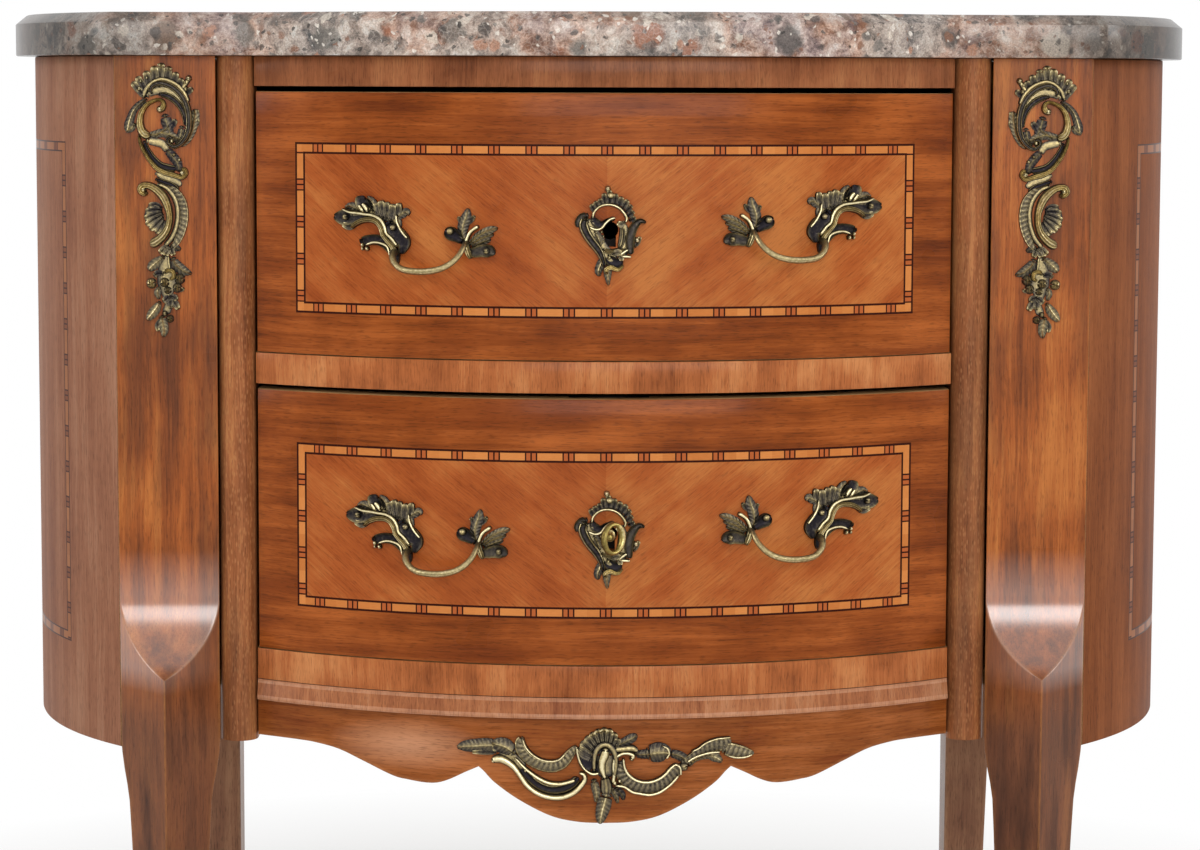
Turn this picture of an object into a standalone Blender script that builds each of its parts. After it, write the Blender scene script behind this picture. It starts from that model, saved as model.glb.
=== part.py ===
"""Kidney-shaped chest of two drawers with a bowed front, round ends and a marble top.

In plan, x runs across the front, y runs back from the middle of the drawer
fronts, and z runs up from the floor. An empty then moves the whole chest so
that its origin is under the middle of its box. Lengths are in metres.
"""
import math

import bmesh
import bpy
from mathutils import Matrix, Vector

# Overall sizes
overall_height = 0.780
opening_half_width = 0.221
bow_depth = 0.0646
case_back_y = 0.408
side_bulge = 0.074
kidney_hollow = 0.028
fit_gap = 0.0003

# Marble top
marble_thickness = 0.027
marble_rim_height = 0.021
marble_rim_inset = 0.008
marble_overhang = 0.0125
marble_back_overhang = 0.006
marble_corner_radius = 0.012

# Front frame, from the top down
top_rail_height = 0.019
upper_opening_height = 0.168
mid_rail_height = 0.0197
lower_opening_height = 0.1697
bottom_rail_height = 0.0197
moulding_height = 0.0127
moulding_projection = 0.005
apron_drop = 0.0665
apron_thickness = 0.020
rail_depth = 0.024
pilaster_width = 0.023
pilaster_projection = 0.0046
pilaster_drop = 0.0272

# Front legs: square posts turned so that an edge faces the front
post_diagonal = 0.0635
facet_setback = 0.062
knee_rise = 0.0688
knee_height = 0.0513
leg_taper_drop = 0.0242
foot_floor = 0.004

# Rear legs
rear_leg_width = 0.034
rear_leg_depth = 0.034
rear_leg_taper = 0.009

# Panels of the case
side_thickness = 0.016
side_drop = 0.0312
back_thickness = 0.008
board_thickness = 0.010
top_board_thickness = 0.012
dust_board_thickness = 0.007

# Drawer runners, which carry the drawer sides and guide them
runner_inner_reach = 0.0225
runner_outer_reach = 0.022
guide_height = 0.012
guide_play = 0.0005

# Drawers
drawer_gap_above = 0.0033
drawer_gap_below = 0.0005
drawer_gap_side = 0.0015
front_thickness = 0.020
drawer_side_thickness = 0.010
drawer_side_inset = 0.001
drawer_side_height = 0.140
drawer_back_y = 0.345
drawer_back_thickness = 0.008
drawer_back_drop = 0.010
drawer_bottom_lift = 0.003
drawer_bottom_thickness = 0.006

# Locks, bolts and the key
keyhole_x = 0.002
keyhole_drop = 0.0835
keyhole_radius = 0.005
keyhole_slot_width = 0.007
keyhole_slot_drop = 0.0105
lock_width = 0.050
lock_height = 0.105
lock_thickness = 0.0097
bolt_width = 0.022
bolt_thickness = 0.005
bolt_length = 0.067
bolt_top_inset = 0.001
bolt_throw = 0.009
bolt_running_gap = 0.0005
mortise_play = 0.001
key_bore_radius = 0.0065
key_stem_radius = 0.0025
key_stem_depth = 0.019
key_bit_reach = 0.0058
key_bit_width = 0.002
key_bit_length = 0.004
key_bow_height = 0.021
key_bow_width = 0.020
key_bow_wire = 0.0017
key_bow_distance = 0.020
key_bow_turn = math.radians(45)

# Gilt mounts
plate_thickness = 0.004
handle_width = 0.110
handle_height = 0.050
handle_bar_radius = 0.0036
handle_bar_reach = 0.022
escutcheon_width = 0.0425
escutcheon_height = 0.0605
chute_width = 0.0455
chute_height = 0.173
chute_offset = 0.00265
chute_drop = 0.0045
apron_mount_width = 0.186
apron_mount_height = 0.0610
apron_mount_drop = 0.0055
apron_mount_thickness = 0.005
sabot_height = 0.045
sabot_wall = 0.0022

# How finely round shapes are divided
bow_segments = 32
side_segments = 20
back_segments = 12
corner_segments = 3
knee_segments = 8
hole_segments = 12
wrap_step = 0.0125
tube_sides_resolution = 1
weld_distance = 0.00001
cutter_overrun = 0.004

# Sizes that follow from the ones above
case_top_z = overall_height - marble_thickness
upper_opening_top_z = case_top_z - top_rail_height
upper_opening_bottom_z = upper_opening_top_z - upper_opening_height
lower_opening_top_z = upper_opening_bottom_z - mid_rail_height
lower_opening_bottom_z = lower_opening_top_z - lower_opening_height
bottom_rail_z = lower_opening_bottom_z - bottom_rail_height
moulding_bottom_z = bottom_rail_z - moulding_height
pilaster_bottom_z = moulding_bottom_z - pilaster_drop
side_bottom_z = moulding_bottom_z - side_drop
knee_top_z = moulding_bottom_z + knee_rise
leg_taper_top_z = moulding_bottom_z - leg_taper_drop
bow_radius = (opening_half_width ** 2 + bow_depth ** 2) / (2 * bow_depth)
pilaster_x = opening_half_width + pilaster_width / 2
pilaster_front_y = bow_depth - pilaster_projection
rail_back_y = bow_radius - math.sqrt((bow_radius - rail_depth) ** 2 - opening_half_width ** 2)
runner_front_y = rail_back_y + fit_gap
runner_inner_x = opening_half_width - runner_inner_reach
runner_outer_x = opening_half_width + runner_outer_reach
facet_inner_x = opening_half_width + pilaster_width + 2 * fit_gap
facet_outer_x = facet_inner_x + post_diagonal
arris_x = (facet_inner_x + facet_outer_x) / 2
arris_y = facet_setback - post_diagonal / 2
chute_x = arris_x + chute_offset
post_side = post_diagonal / math.sqrt(2)
side_half_chord = (case_back_y - facet_setback) / 2
side_radius = (side_half_chord ** 2 + side_bulge ** 2) / (2 * side_bulge)
side_center_x = facet_outer_x + side_bulge - side_radius
side_center_y = facet_setback + side_half_chord
side_end_angle = math.asin(side_half_chord / side_radius) - fit_gap / side_radius
rear_leg_outer_x = side_center_x + (side_radius - side_thickness) * math.cos(side_end_angle) - fit_gap
rear_leg_inner_x = rear_leg_outer_x - rear_leg_width
rear_leg_front_y = case_back_y - rear_leg_depth
back_half_width = rear_leg_inner_x - fit_gap
back_radius = (back_half_width ** 2 + kidney_hollow ** 2) / (2 * kidney_hollow)
back_center_y = case_back_y - kidney_hollow + back_radius
key_front_y = -(key_bow_distance + key_bow_width * math.cos(key_bow_turn) / 2 + key_bow_wire)
marble_back_y = case_back_y + marble_back_overhang
plan_middle_y = (min(key_front_y, -marble_overhang) + marble_back_y) / 2

# Outline of the apron's lower edge: share of half its length, share of its drop
apron_edge_shares = (
    (1.00, 0.36), (0.86, 0.36), (0.81, 0.365), (0.74, 0.41), (0.665, 0.505), (0.58, 0.62),
    (0.51, 0.66), (0.46, 0.655), (0.415, 0.61), (0.34, 0.485), (0.295, 0.635), (0.23, 0.79),
    (0.145, 0.935), (0.07, 0.99), (0.00, 1.00),
)

# Front leg below the taper: share of its height, share of the post's side, set back as a share of it
leg_section_shares = (
    (0.00, 0.66, -0.04), (0.05, 0.63, 0.00), (0.12, 0.60, 0.07), (0.25, 0.60, 0.14), (0.40, 0.64, 0.15),
    (0.60, 0.72, 0.11), (0.79, 0.79, 0.05), (0.885, 0.84, 0.02), (0.93, 0.93, 0.01), (0.98, 1.00, 0.00),
)

# Outlines of the gilt mounts: shares of each mount's own width and height
leaf_shares = (
    (0.00, 0.72), (0.06, 0.86), (0.14, 0.94), (0.19, 1.00), (0.26, 0.96), (0.34, 0.95), (0.38, 0.90),
    (0.43, 0.90), (0.47, 0.77), (0.41, 0.70), (0.42, 0.58), (0.47, 0.47), (0.45, 0.34), (0.40, 0.21),
    (0.35, 0.28), (0.29, 0.38), (0.20, 0.31), (0.16, 0.37), (0.19, 0.47), (0.28, 0.49), (0.26, 0.63),
    (0.20, 0.70), (0.12, 0.60), (0.04, 0.62),
)
leaflet_shares = (
    (0.78, 0.77), (0.82, 0.85), (0.87, 0.77), (0.86, 0.67), (0.93, 0.65), (1.00, 0.62), (0.96, 0.52),
    (0.89, 0.43), (0.97, 0.34), (0.95, 0.27), (0.86, 0.24), (0.79, 0.34), (0.71, 0.44), (0.68, 0.53),
    (0.71, 0.62), (0.77, 0.60),
)
bar_shares = (
    (0.37, 0.36), (0.40, 0.25), (0.44, 0.17), (0.49, 0.11), (0.55, 0.08), (0.62, 0.07), (0.69, 0.10),
    (0.74, 0.16), (0.78, 0.25), (0.80, 0.38),
)
escutcheon_shares = (
    (0.45, 1.00), (0.51, 0.95), (0.61, 0.90), (0.71, 0.86), (0.77, 0.79), (0.82, 0.69), (0.93, 0.68),
    (1.00, 0.64), (0.88, 0.58), (0.83, 0.51), (0.90, 0.45), (0.85, 0.38), (0.75, 0.32), (0.70, 0.24),
    (0.57, 0.16), (0.51, 0.09), (0.45, 0.00), (0.39, 0.08), (0.28, 0.13), (0.31, 0.31), (0.13, 0.47),
    (0.03, 0.58), (0.00, 0.67), (0.08, 0.70), (0.17, 0.71), (0.24, 0.80), (0.36, 0.88),
)
window_shares = (
    (0.28, 0.68), (0.32, 0.74), (0.41, 0.78), (0.52, 0.78), (0.62, 0.74), (0.69, 0.67), (0.56, 0.675),
    (0.40, 0.675),
)
chute_shares = (
    (0.47, 1.00), (0.71, 0.97), (0.92, 0.94), (0.83, 0.89), (0.88, 0.85), (0.99, 0.82), (0.98, 0.77),
    (0.87, 0.68), (0.79, 0.67), (0.86, 0.60), (0.75, 0.56), (0.83, 0.51), (0.85, 0.42), (0.78, 0.34),
    (0.68, 0.31), (0.88, 0.23), (0.78, 0.18), (0.66, 0.17), (0.71, 0.10), (0.60, 0.05), (0.48, 0.00),
    (0.38, 0.05), (0.27, 0.08), (0.39, 0.13), (0.27, 0.20), (0.41, 0.23), (0.30, 0.26), (0.44, 0.31),
    (0.29, 0.36), (0.23, 0.42), (0.38, 0.49), (0.17, 0.54), (0.45, 0.57), (0.25, 0.61), (0.15, 0.68),
    (0.13, 0.74), (0.01, 0.76), (0.12, 0.84), (0.28, 0.88), (0.11, 0.93), (0.21, 0.97),
)
chute_window_shares = (
    ((0.35, 0.83), (0.45, 0.82), (0.45, 0.78), (0.38, 0.74), (0.29, 0.76), (0.27, 0.81)),
    ((0.60, 0.85), (0.72, 0.83), (0.81, 0.78), (0.76, 0.74), (0.66, 0.76), (0.58, 0.81)),
)
apron_mount_shares = (
    (0.00, 0.75), (0.03, 0.85), (0.16, 0.88), (0.23, 0.90), (0.25, 0.74), (0.31, 0.61), (0.36, 0.66),
    (0.40, 0.82), (0.45, 0.97), (0.50, 1.00), (0.54, 0.93), (0.60, 0.91), (0.61, 0.84), (0.68, 0.84),
    (0.74, 0.76), (0.81, 0.81), (0.89, 0.88), (0.93, 0.82), (1.00, 0.74), (0.97, 0.65), (0.88, 0.63),
    (0.80, 0.62), (0.77, 0.53), (0.73, 0.38), (0.66, 0.30), (0.56, 0.35), (0.54, 0.14), (0.49, 0.00),
    (0.46, 0.20), (0.44, 0.33), (0.39, 0.26), (0.31, 0.26), (0.24, 0.40), (0.19, 0.60), (0.12, 0.64),
    (0.02, 0.70),
)
apron_mount_window_shares = (
    ((0.27, 0.56), (0.31, 0.52), (0.36, 0.54), (0.40, 0.60), (0.40, 0.46), (0.34, 0.42), (0.29, 0.46)),
    ((0.57, 0.66), (0.59, 0.53), (0.66, 0.46), (0.73, 0.60), (0.66, 0.63)),
)

# Where the keyhole sits in its plate, as shares of the plate's width and height
escutcheon_keyhole_share_x = 0.49
escutcheon_keyhole_share_z = 0.56

# Where each handle sits: share of half the front's arc length, share of the front's height down
handle_place_shares = {
    "upper_left": (-0.52, 0.54),
    "upper_right": (0.535, 0.495),
    "lower_left": (-0.487, 0.524),
    "lower_right": (0.535, 0.473),
}

for old_object in list(bpy.data.objects):
    bpy.data.objects.remove(old_object)

parts = bpy.data.collections.new("kidney_chest_of_drawers")
cutters = bpy.data.collections.new("cutters")
bpy.context.scene.collection.children.link(parts)
bpy.context.scene.collection.children.link(cutters)


def make_material(name, color, roughness, metallic=0.0):
    """A plain Principled material."""
    material = bpy.data.materials.new(name)
    material.use_nodes = True
    shader = material.node_tree.nodes["Principled BSDF"]
    shader.inputs["Base Color"].default_value = (*color, 1.0)
    shader.inputs["Roughness"].default_value = roughness
    shader.inputs["Metallic"].default_value = metallic
    return material


marble = make_material("marble", (0.20, 0.15, 0.12), 0.15)
veneer = make_material("front_veneer", (0.42, 0.15, 0.05), 0.30)
crossband = make_material("crossbanding", (0.45, 0.19, 0.07), 0.32)
mahogany = make_material("case_mahogany", (0.22, 0.08, 0.035), 0.35)
beech = make_material("pilaster_wood", (0.33, 0.16, 0.07), 0.35)
carcass_wood = make_material("carcass_oak", (0.42, 0.28, 0.15), 0.65)
bronze = make_material("gilt_bronze", (0.36, 0.27, 0.13), 0.38, 1.0)
brass = make_material("key_brass", (0.70, 0.50, 0.20), 0.30, 1.0)
iron = make_material("lock_iron", (0.22, 0.20, 0.18), 0.45, 1.0)


def new_empty(name, location, parent=None):
    """An empty that carries pieces which stay or move together."""
    holder = bpy.data.objects.new(name, None)
    holder.location = location
    holder.parent = parent
    parts.objects.link(holder)
    return holder


def weld(mesh):
    """Joins doubled points and turns every face outwards."""
    shape = bmesh.new()
    shape.from_mesh(mesh)
    bmesh.ops.remove_doubles(shape, verts=shape.verts, dist=weld_distance)
    bmesh.ops.recalc_face_normals(shape, faces=shape.faces)
    shape.to_mesh(mesh)
    shape.free()


def evaluated_mesh(item):
    """The mesh of an object with its modifiers or its curve settings applied."""
    bpy.context.view_layer.update()
    graph = bpy.context.evaluated_depsgraph_get()
    return bpy.data.meshes.new_from_object(item.evaluated_get(graph))


def curve_mesh(curve):
    """Turns a curve into a closed mesh and drops the curve."""
    holder = bpy.data.objects.new("guide", curve)
    cutters.objects.link(holder)
    mesh = evaluated_mesh(holder)
    bpy.data.objects.remove(holder)
    bpy.data.curves.remove(curve)
    weld(mesh)
    return mesh


def prism(outlines, low, high):
    """A flat outline, with holes where it has further outlines, from one height to another."""
    curve = bpy.data.curves.new("outline", "CURVE")
    curve.dimensions = "2D"
    curve.fill_mode = "BOTH"
    curve.extrude = (high - low) / 2
    for outline in outlines:
        spline = curve.splines.new("POLY")
        spline.points.add(len(outline) - 1)
        for point, (x, y) in zip(spline.points, outline):
            point.co = (x, y, 0, 1)
        spline.use_cyclic_u = True
    mesh = curve_mesh(curve)
    mesh.transform(Matrix.Translation((0, 0, (low + high) / 2)))
    return mesh


def tube(points, radius, closed=False):
    """A round wire along points."""
    curve = bpy.data.curves.new("wire", "CURVE")
    curve.dimensions = "3D"
    curve.bevel_depth = radius
    curve.bevel_resolution = tube_sides_resolution
    curve.use_fill_caps = not closed
    spline = curve.splines.new("POLY")
    spline.points.add(len(points) - 1)
    for point, place in zip(spline.points, points):
        point.co = (*place, 1)
    spline.use_cyclic_u = closed
    return curve_mesh(curve)


def box(low, high):
    """A block between two corners."""
    low, high = Vector(low), Vector(high)
    shape = bmesh.new()
    bmesh.ops.create_cube(shape, size=1.0)
    place = Matrix.Translation((low + high) / 2) @ Matrix.Diagonal((*(high - low), 1.0))
    bmesh.ops.transform(shape, matrix=place, verts=shape.verts)
    mesh = bpy.data.meshes.new("block")
    shape.to_mesh(mesh)
    shape.free()
    return mesh


def rod(radius, y_front, y_back, x=0.0, z=0.0):
    """A round bar that runs from front to back."""
    shape = bmesh.new()
    bmesh.ops.create_cone(shape, cap_ends=True, segments=hole_segments, radius1=radius,
                          radius2=radius, depth=y_back - y_front)
    turn = Matrix.Rotation(math.pi / 2, 4, "X")
    place = Matrix.Translation((x, (y_front + y_back) / 2, z)) @ turn
    bmesh.ops.transform(shape, matrix=place, verts=shape.verts)
    mesh = bpy.data.meshes.new("rod")
    shape.to_mesh(mesh)
    shape.free()
    return mesh


def loft(rings):
    """A solid through rings of as many points each, with flat ends."""
    shape = bmesh.new()
    levels = [[shape.verts.new(point) for point in ring] for ring in rings]
    shape.faces.new(levels[0])
    shape.faces.new(levels[-1])
    for lower, upper in zip(levels, levels[1:]):
        for index in range(len(lower)):
            following = (index + 1) % len(lower)
            shape.faces.new((lower[index], lower[following], upper[following], upper[index]))
    bmesh.ops.recalc_face_normals(shape, faces=shape.faces)
    mesh = bpy.data.meshes.new("loft")
    shape.to_mesh(mesh)
    shape.free()
    return mesh


def place_part(name, mesh, material, parent, location=(0, 0, 0)):
    """Puts a finished mesh into the model as one named piece."""
    mesh.materials.clear()
    mesh.materials.append(material)
    piece = bpy.data.objects.new(name, mesh)
    piece.location = location
    piece.parent = parent
    parts.objects.link(piece)
    return piece


def cut(piece, mesh):
    """Takes a cutter's shape, given beside the piece in their parent's space, out of the piece."""
    tool = bpy.data.objects.new(piece.name + "_cutter", mesh)
    tool.parent = piece.parent
    tool.hide_render = True
    tool.display_type = "WIRE"
    cutters.objects.link(tool)
    modifier = piece.modifiers.new("cut", "BOOLEAN")
    modifier.operation = "DIFFERENCE"
    modifier.solver = "EXACT"
    modifier.object = tool


def joined(meshes):
    """One closed body from meshes that overlap."""
    blocks = [bpy.data.objects.new("block", mesh) for mesh in meshes]
    for block in blocks:
        cutters.objects.link(block)
    for block in blocks[1:]:
        modifier = blocks[0].modifiers.new("join", "BOOLEAN")
        modifier.operation = "UNION"
        modifier.solver = "EXACT"
        modifier.object = block
    mesh = evaluated_mesh(blocks[0])
    for block in blocks:
        bpy.data.objects.remove(block)
    weld(mesh)
    return mesh


# Turns a shape drawn flat so that it stands up and faces the front
stand_up = Matrix.Rotation(math.pi / 2, 4, "X")
# Turns an outline drawn as depth and height so that it runs across the chest
run_across = Matrix(((0, 0, 1, 0), (1, 0, 0, 0), (0, 1, 0, 0), (0, 0, 0, 1)))
# Lays a section drawn as reach and height along the front, before it is bent onto the bow
lay_along = Matrix(((0, 0, 1, 0), (0, 1, 0, 0), (1, 0, 0, 0), (0, 0, 0, 1)))


def bow_arc_length(x):
    """Distance along the bowed front from its middle to a place x across."""
    return bow_radius * math.asin(x / bow_radius)


def bow_y(x, inset=0.0):
    """Depth of the bowed front, or of an arc inset behind it, at a place x across."""
    return bow_radius - math.sqrt((bow_radius - inset) ** 2 - x ** 2)


def bow_points(half_width, inset):
    """Points of the bowed arc from left to right."""
    radius = bow_radius - inset
    end = math.asin(half_width / radius)
    angles = [end * (2 * step / bow_segments - 1) for step in range(bow_segments + 1)]
    return [(radius * math.sin(angle), bow_radius - radius * math.cos(angle)) for angle in angles]


def bow_bar(half_width, low, high, depth):
    """A bowed rail whose face follows the front and whose ends run straight back."""
    outline = bow_points(half_width, 0) + bow_points(half_width, depth)[::-1]
    return prism([outline], low, high)


def side_points(inset, start, end):
    """Points of the right-hand end's arc between two angles, from front to back."""
    radius = side_radius - inset
    angles = [start + (end - start) * step / side_segments for step in range(side_segments + 1)]
    return [(side_center_x + radius * math.cos(angle), side_center_y + radius * math.sin(angle))
            for angle in angles]


def back_points(half_width, forward):
    """Points of the hollow back's arc from right to left, moved forward by a distance."""
    radius = back_radius + forward
    end = math.asin(half_width / radius)
    angles = [end * (1 - 2 * step / back_segments) for step in range(back_segments + 1)]
    return [(radius * math.sin(angle), back_center_y - radius * math.cos(angle)) for angle in angles]


def mirrored(points, side):
    """Points as drawn for the right-hand side, or turned over for the left."""
    return [(side * point[0], *point[1:]) for point in points]


def wrap_on_bow(mesh):
    """Bends a shape drawn flat, with x along the bow and z off it, onto the bowed front."""
    shape = bmesh.new()
    shape.from_mesh(mesh)
    reach = max(abs(vertex.co.x) for vertex in shape.verts)
    count = math.ceil(reach / wrap_step)
    for step in range(-count, count + 1):
        geometry = list(shape.verts) + list(shape.edges) + list(shape.faces)
        bmesh.ops.bisect_plane(shape, geom=geometry, dist=weld_distance,
                               plane_co=(step * wrap_step, 0, 0), plane_no=(1, 0, 0))
    for vertex in shape.verts:
        angle = vertex.co.x / bow_radius
        radius = bow_radius + vertex.co.z
        height = vertex.co.y
        vertex.co = (radius * math.sin(angle), bow_radius - radius * math.cos(angle), height)
    shape.to_mesh(mesh)
    shape.free()
    weld(mesh)
    return mesh


def scaled(shares, width, height, x=0.0, y=0.0, side=1):
    """Shares of a box as points, with the box's lower corner at x and y."""
    return [(x + side * share_x * width, y + share_y * height) for share_x, share_y in shares]


def round_corner(before, corner, after, radius):
    """Points of a fillet that replaces a corner between two straight runs."""
    corner = Vector(corner)
    toward_before = (Vector(before) - corner).normalized()
    toward_after = (Vector(after) - corner).normalized()
    half_angle = toward_before.angle(toward_after) / 2
    tangent = radius / math.tan(half_angle)
    start = corner + toward_before * tangent
    end = corner + toward_after * tangent
    middle = corner + (toward_before + toward_after).normalized() * radius / math.sin(half_angle)
    points = []
    for step in range(corner_segments + 1):
        guide = start.lerp(end, step / corner_segments)
        points.append(tuple(middle + (guide - middle).normalized() * radius))
    return points


def make_marble(chest):
    """The top follows the case's outline with an even overhang and a sloped upper rim."""
    radius = bow_radius + marble_overhang
    facet_y = facet_setback - marble_overhang
    bow_end = math.acos((bow_radius - facet_y) / radius)
    half_steps = bow_segments // 2
    front = [(radius * math.sin(bow_end * step / half_steps),
              bow_radius - radius * math.cos(bow_end * step / half_steps)) for step in range(half_steps)]
    end_radius = side_radius + marble_overhang
    front_angle = math.asin((facet_y - side_center_y) / end_radius)
    back_angle = math.asin((marble_back_y - side_center_y) / end_radius)
    end_arc = side_points(-marble_overhang, front_angle, back_angle)
    bow_corner = (radius * math.sin(bow_end), facet_y)
    back_arc = back_points(back_half_width, -marble_back_overhang)[:back_segments // 2 + 1]
    back_start = (back_arc[0][0], marble_back_y)
    half = front
    half += round_corner(front[-1], bow_corner, end_arc[0], marble_corner_radius)
    half += round_corner(bow_corner, end_arc[0], end_arc[1], marble_corner_radius / 2)
    half += end_arc[1:-1]
    half += round_corner(end_arc[-2], end_arc[-1], back_start, marble_corner_radius / 2)
    half += back_arc
    outline = half + mirrored(half[1:-1], -1)[::-1]
    shape = bmesh.new()
    base = shape.faces.new([shape.verts.new((x, y, 0)) for x, y in outline])
    grown = bmesh.ops.extrude_face_region(shape, geom=[base])["geom"]
    rim = [item for item in grown if isinstance(item, bmesh.types.BMVert)]
    bmesh.ops.translate(shape, verts=rim, vec=(0, 0, marble_rim_height))
    bmesh.ops.recalc_face_normals(shape, faces=shape.faces)
    top = max(shape.faces, key=lambda face: face.calc_center_median().z)
    bmesh.ops.inset_region(shape, faces=[top], thickness=marble_rim_inset, use_even_offset=True,
                           depth=marble_thickness - marble_rim_height)
    mesh = bpy.data.meshes.new("slab")
    shape.to_mesh(mesh)
    shape.free()
    place_part("marble_top", mesh, marble, chest, (0, 0, case_top_z))


def post_ring(z, side_share, setback_share, grow):
    """Four corners of the turned square post: front edge, outer, rear and inner."""
    size = post_side * side_share + 2 * grow
    diagonal = size * math.sqrt(2)
    front_y = arris_y + post_side * setback_share - grow * math.sqrt(2)
    return [(arris_x, front_y, z), (arris_x + diagonal / 2, front_y + diagonal / 2, z),
            (arris_x, front_y + diagonal, z), (arris_x - diagonal / 2, front_y + diagonal / 2, z)]


def leg_rings(bottom, top, grow):
    """Rings of the front leg between two heights."""
    sections = [(share * leg_taper_top_z, size, setback) for share, size, setback in leg_section_shares]
    sections.append((case_top_z - fit_gap, sections[-1][1], sections[-1][2]))
    heights = [z for z, _, _ in sections if bottom < z < top]
    rings = []
    for z in [bottom] + heights + [top]:
        for low, high in zip(sections, sections[1:]):
            if low[0] <= z <= high[0]:
                share = (z - low[0]) / (high[0] - low[0])
                size = low[1] + (high[1] - low[1]) * share
                setback = low[2] + (high[2] - low[2]) * share
        rings.append(post_ring(z, size, setback, grow))
    return rings


def make_front_leg(chest, side, name):
    """The post's front edge is cut back to a flat facet that sweeps forward again at the knee."""
    rings = leg_rings(foot_floor, case_top_z - fit_gap, 0)
    leg = place_part(name, loft([mirrored(ring, side) for ring in rings]), mahogany, chest)
    depth = facet_setback - arris_y
    radius = (knee_height ** 2 + depth ** 2) / (2 * depth)
    end = math.atan2(knee_height, radius - depth) * (1 + 1 / knee_segments)
    profile = [(arris_y - radius, knee_top_z - radius * math.sin(end)),
               (arris_y - radius, overall_height), (facet_setback, overall_height)]
    for step in range(knee_segments + 2):
        angle = end * step / (knee_segments + 1)
        profile.append((facet_setback - radius + radius * math.cos(angle),
                        knee_top_z - radius * math.sin(angle)))
    cutter = prism([profile], arris_x - post_diagonal, arris_x + post_diagonal)
    cutter.transform(run_across)
    if side < 0:
        cutter.transform(Matrix.Translation((-2 * arris_x, 0, 0)))
    cut(leg, cutter)


def make_sabot(chest, side, name):
    """A gilt shoe that holds the foot of a front leg."""
    outer = loft([mirrored(ring, side) for ring in leg_rings(0, sabot_height, sabot_wall)])
    sabot = place_part(name, outer, bronze, chest)
    inner = leg_rings(foot_floor - fit_gap, sabot_height + cutter_overrun, fit_gap)
    cut(sabot, loft([mirrored(ring, side) for ring in inner]))


def make_rear_leg(chest, side, name):
    """A plain square post, tapered below the case on its outer and front faces."""
    rings = []
    for z, taper in ((0, rear_leg_taper), (leg_taper_top_z, 0), (case_top_z - fit_gap, 0)):
        outer_x = rear_leg_outer_x - taper
        front_y = rear_leg_front_y + taper
        corners = [(rear_leg_inner_x, front_y, z), (outer_x, front_y, z),
                   (outer_x, case_back_y, z), (rear_leg_inner_x, case_back_y, z)]
        rings.append(mirrored(corners, side))
    place_part(name, loft(rings), mahogany, chest)


def make_pilaster(chest, side, name):
    """A half-round column between the drawers and the leg's facet."""
    radius = pilaster_width / 2 - fit_gap
    outline = [(side * (pilaster_x + radius), rail_back_y), (side * (pilaster_x - radius), rail_back_y)]
    for step in range(knee_segments + 1):
        angle = math.pi * step / knee_segments
        outline.append((side * (pilaster_x - radius * math.cos(angle)),
                        pilaster_front_y + radius - radius * math.sin(angle)))
    mesh = prism([outline], pilaster_bottom_z, case_top_z - fit_gap)
    place_part(name, mesh, beech, chest)


def make_side_panel(chest, side, name):
    """The round end of the case, from the front leg to the rear leg."""
    outer = side_points(0, -side_end_angle, side_end_angle)
    inner = side_points(side_thickness, -side_end_angle, side_end_angle)
    mesh = prism([mirrored(outer + inner[::-1], side)], side_bottom_z, case_top_z - fit_gap)
    place_part(name, mesh, mahogany, chest)


def interior_outline():
    """Plan of the space inside the case behind the rails, legs and side panels."""
    post_rear_y = arris_y + post_diagonal + fit_gap
    inner_radius = side_radius - side_thickness - fit_gap
    start = math.asin((post_rear_y - side_center_y) / inner_radius)
    end = math.asin((rear_leg_front_y - fit_gap - side_center_y) / inner_radius)
    front_half_width = opening_half_width - 2 * fit_gap
    rear = [(rear_leg_inner_x - fit_gap, rear_leg_front_y - fit_gap)]
    right = [(front_half_width, post_rear_y)]
    right += side_points(side_thickness + fit_gap, start, end) + rear
    back = back_points(back_half_width - fit_gap, back_thickness + fit_gap)
    return bow_points(front_half_width, rail_depth + fit_gap) + right + back + mirrored(right, -1)[::-1]


def inner_board(half_width):
    """Plan of a board between the runners, from the rail to the back."""
    front = bow_points(half_width, rail_depth + fit_gap)
    return front + back_points(half_width, back_thickness + fit_gap)


def runner_outline(side, low, high):
    """Section of a runner with its upright guide."""
    guide_x = opening_half_width - drawer_gap_side - drawer_side_inset + guide_play
    return [(side * runner_inner_x, low), (side * runner_outer_x, low),
            (side * runner_outer_x, high + guide_height), (side * guide_x, high + guide_height),
            (side * guide_x, high), (side * runner_inner_x, high)]


def make_runner(chest, side, name, low, high):
    """A bearer under one side of a drawer, from the pilaster to the back."""
    inner = math.sqrt((back_radius + back_thickness) ** 2 - runner_inner_x ** 2)
    back_y = back_center_y - inner - fit_gap
    mesh = prism([runner_outline(side, low, high)], -back_y, -runner_front_y)
    mesh.transform(stand_up)
    place_part(name, mesh, carcass_wood, chest)


def cut_mortise(rail, low_z):
    """A pocket in the underside of a rail that the raised bolt enters."""
    half_width = bolt_width / 2 + mortise_play
    y = front_thickness - lock_thickness / 2
    half_depth = bolt_thickness / 2 + mortise_play
    top = low_z - drawer_gap_above - bolt_top_inset + bolt_throw + mortise_play
    cut(rail, box((keyhole_x - half_width, y - half_depth, low_z - cutter_overrun),
                  (keyhole_x + half_width, y + half_depth, top)))


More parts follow.
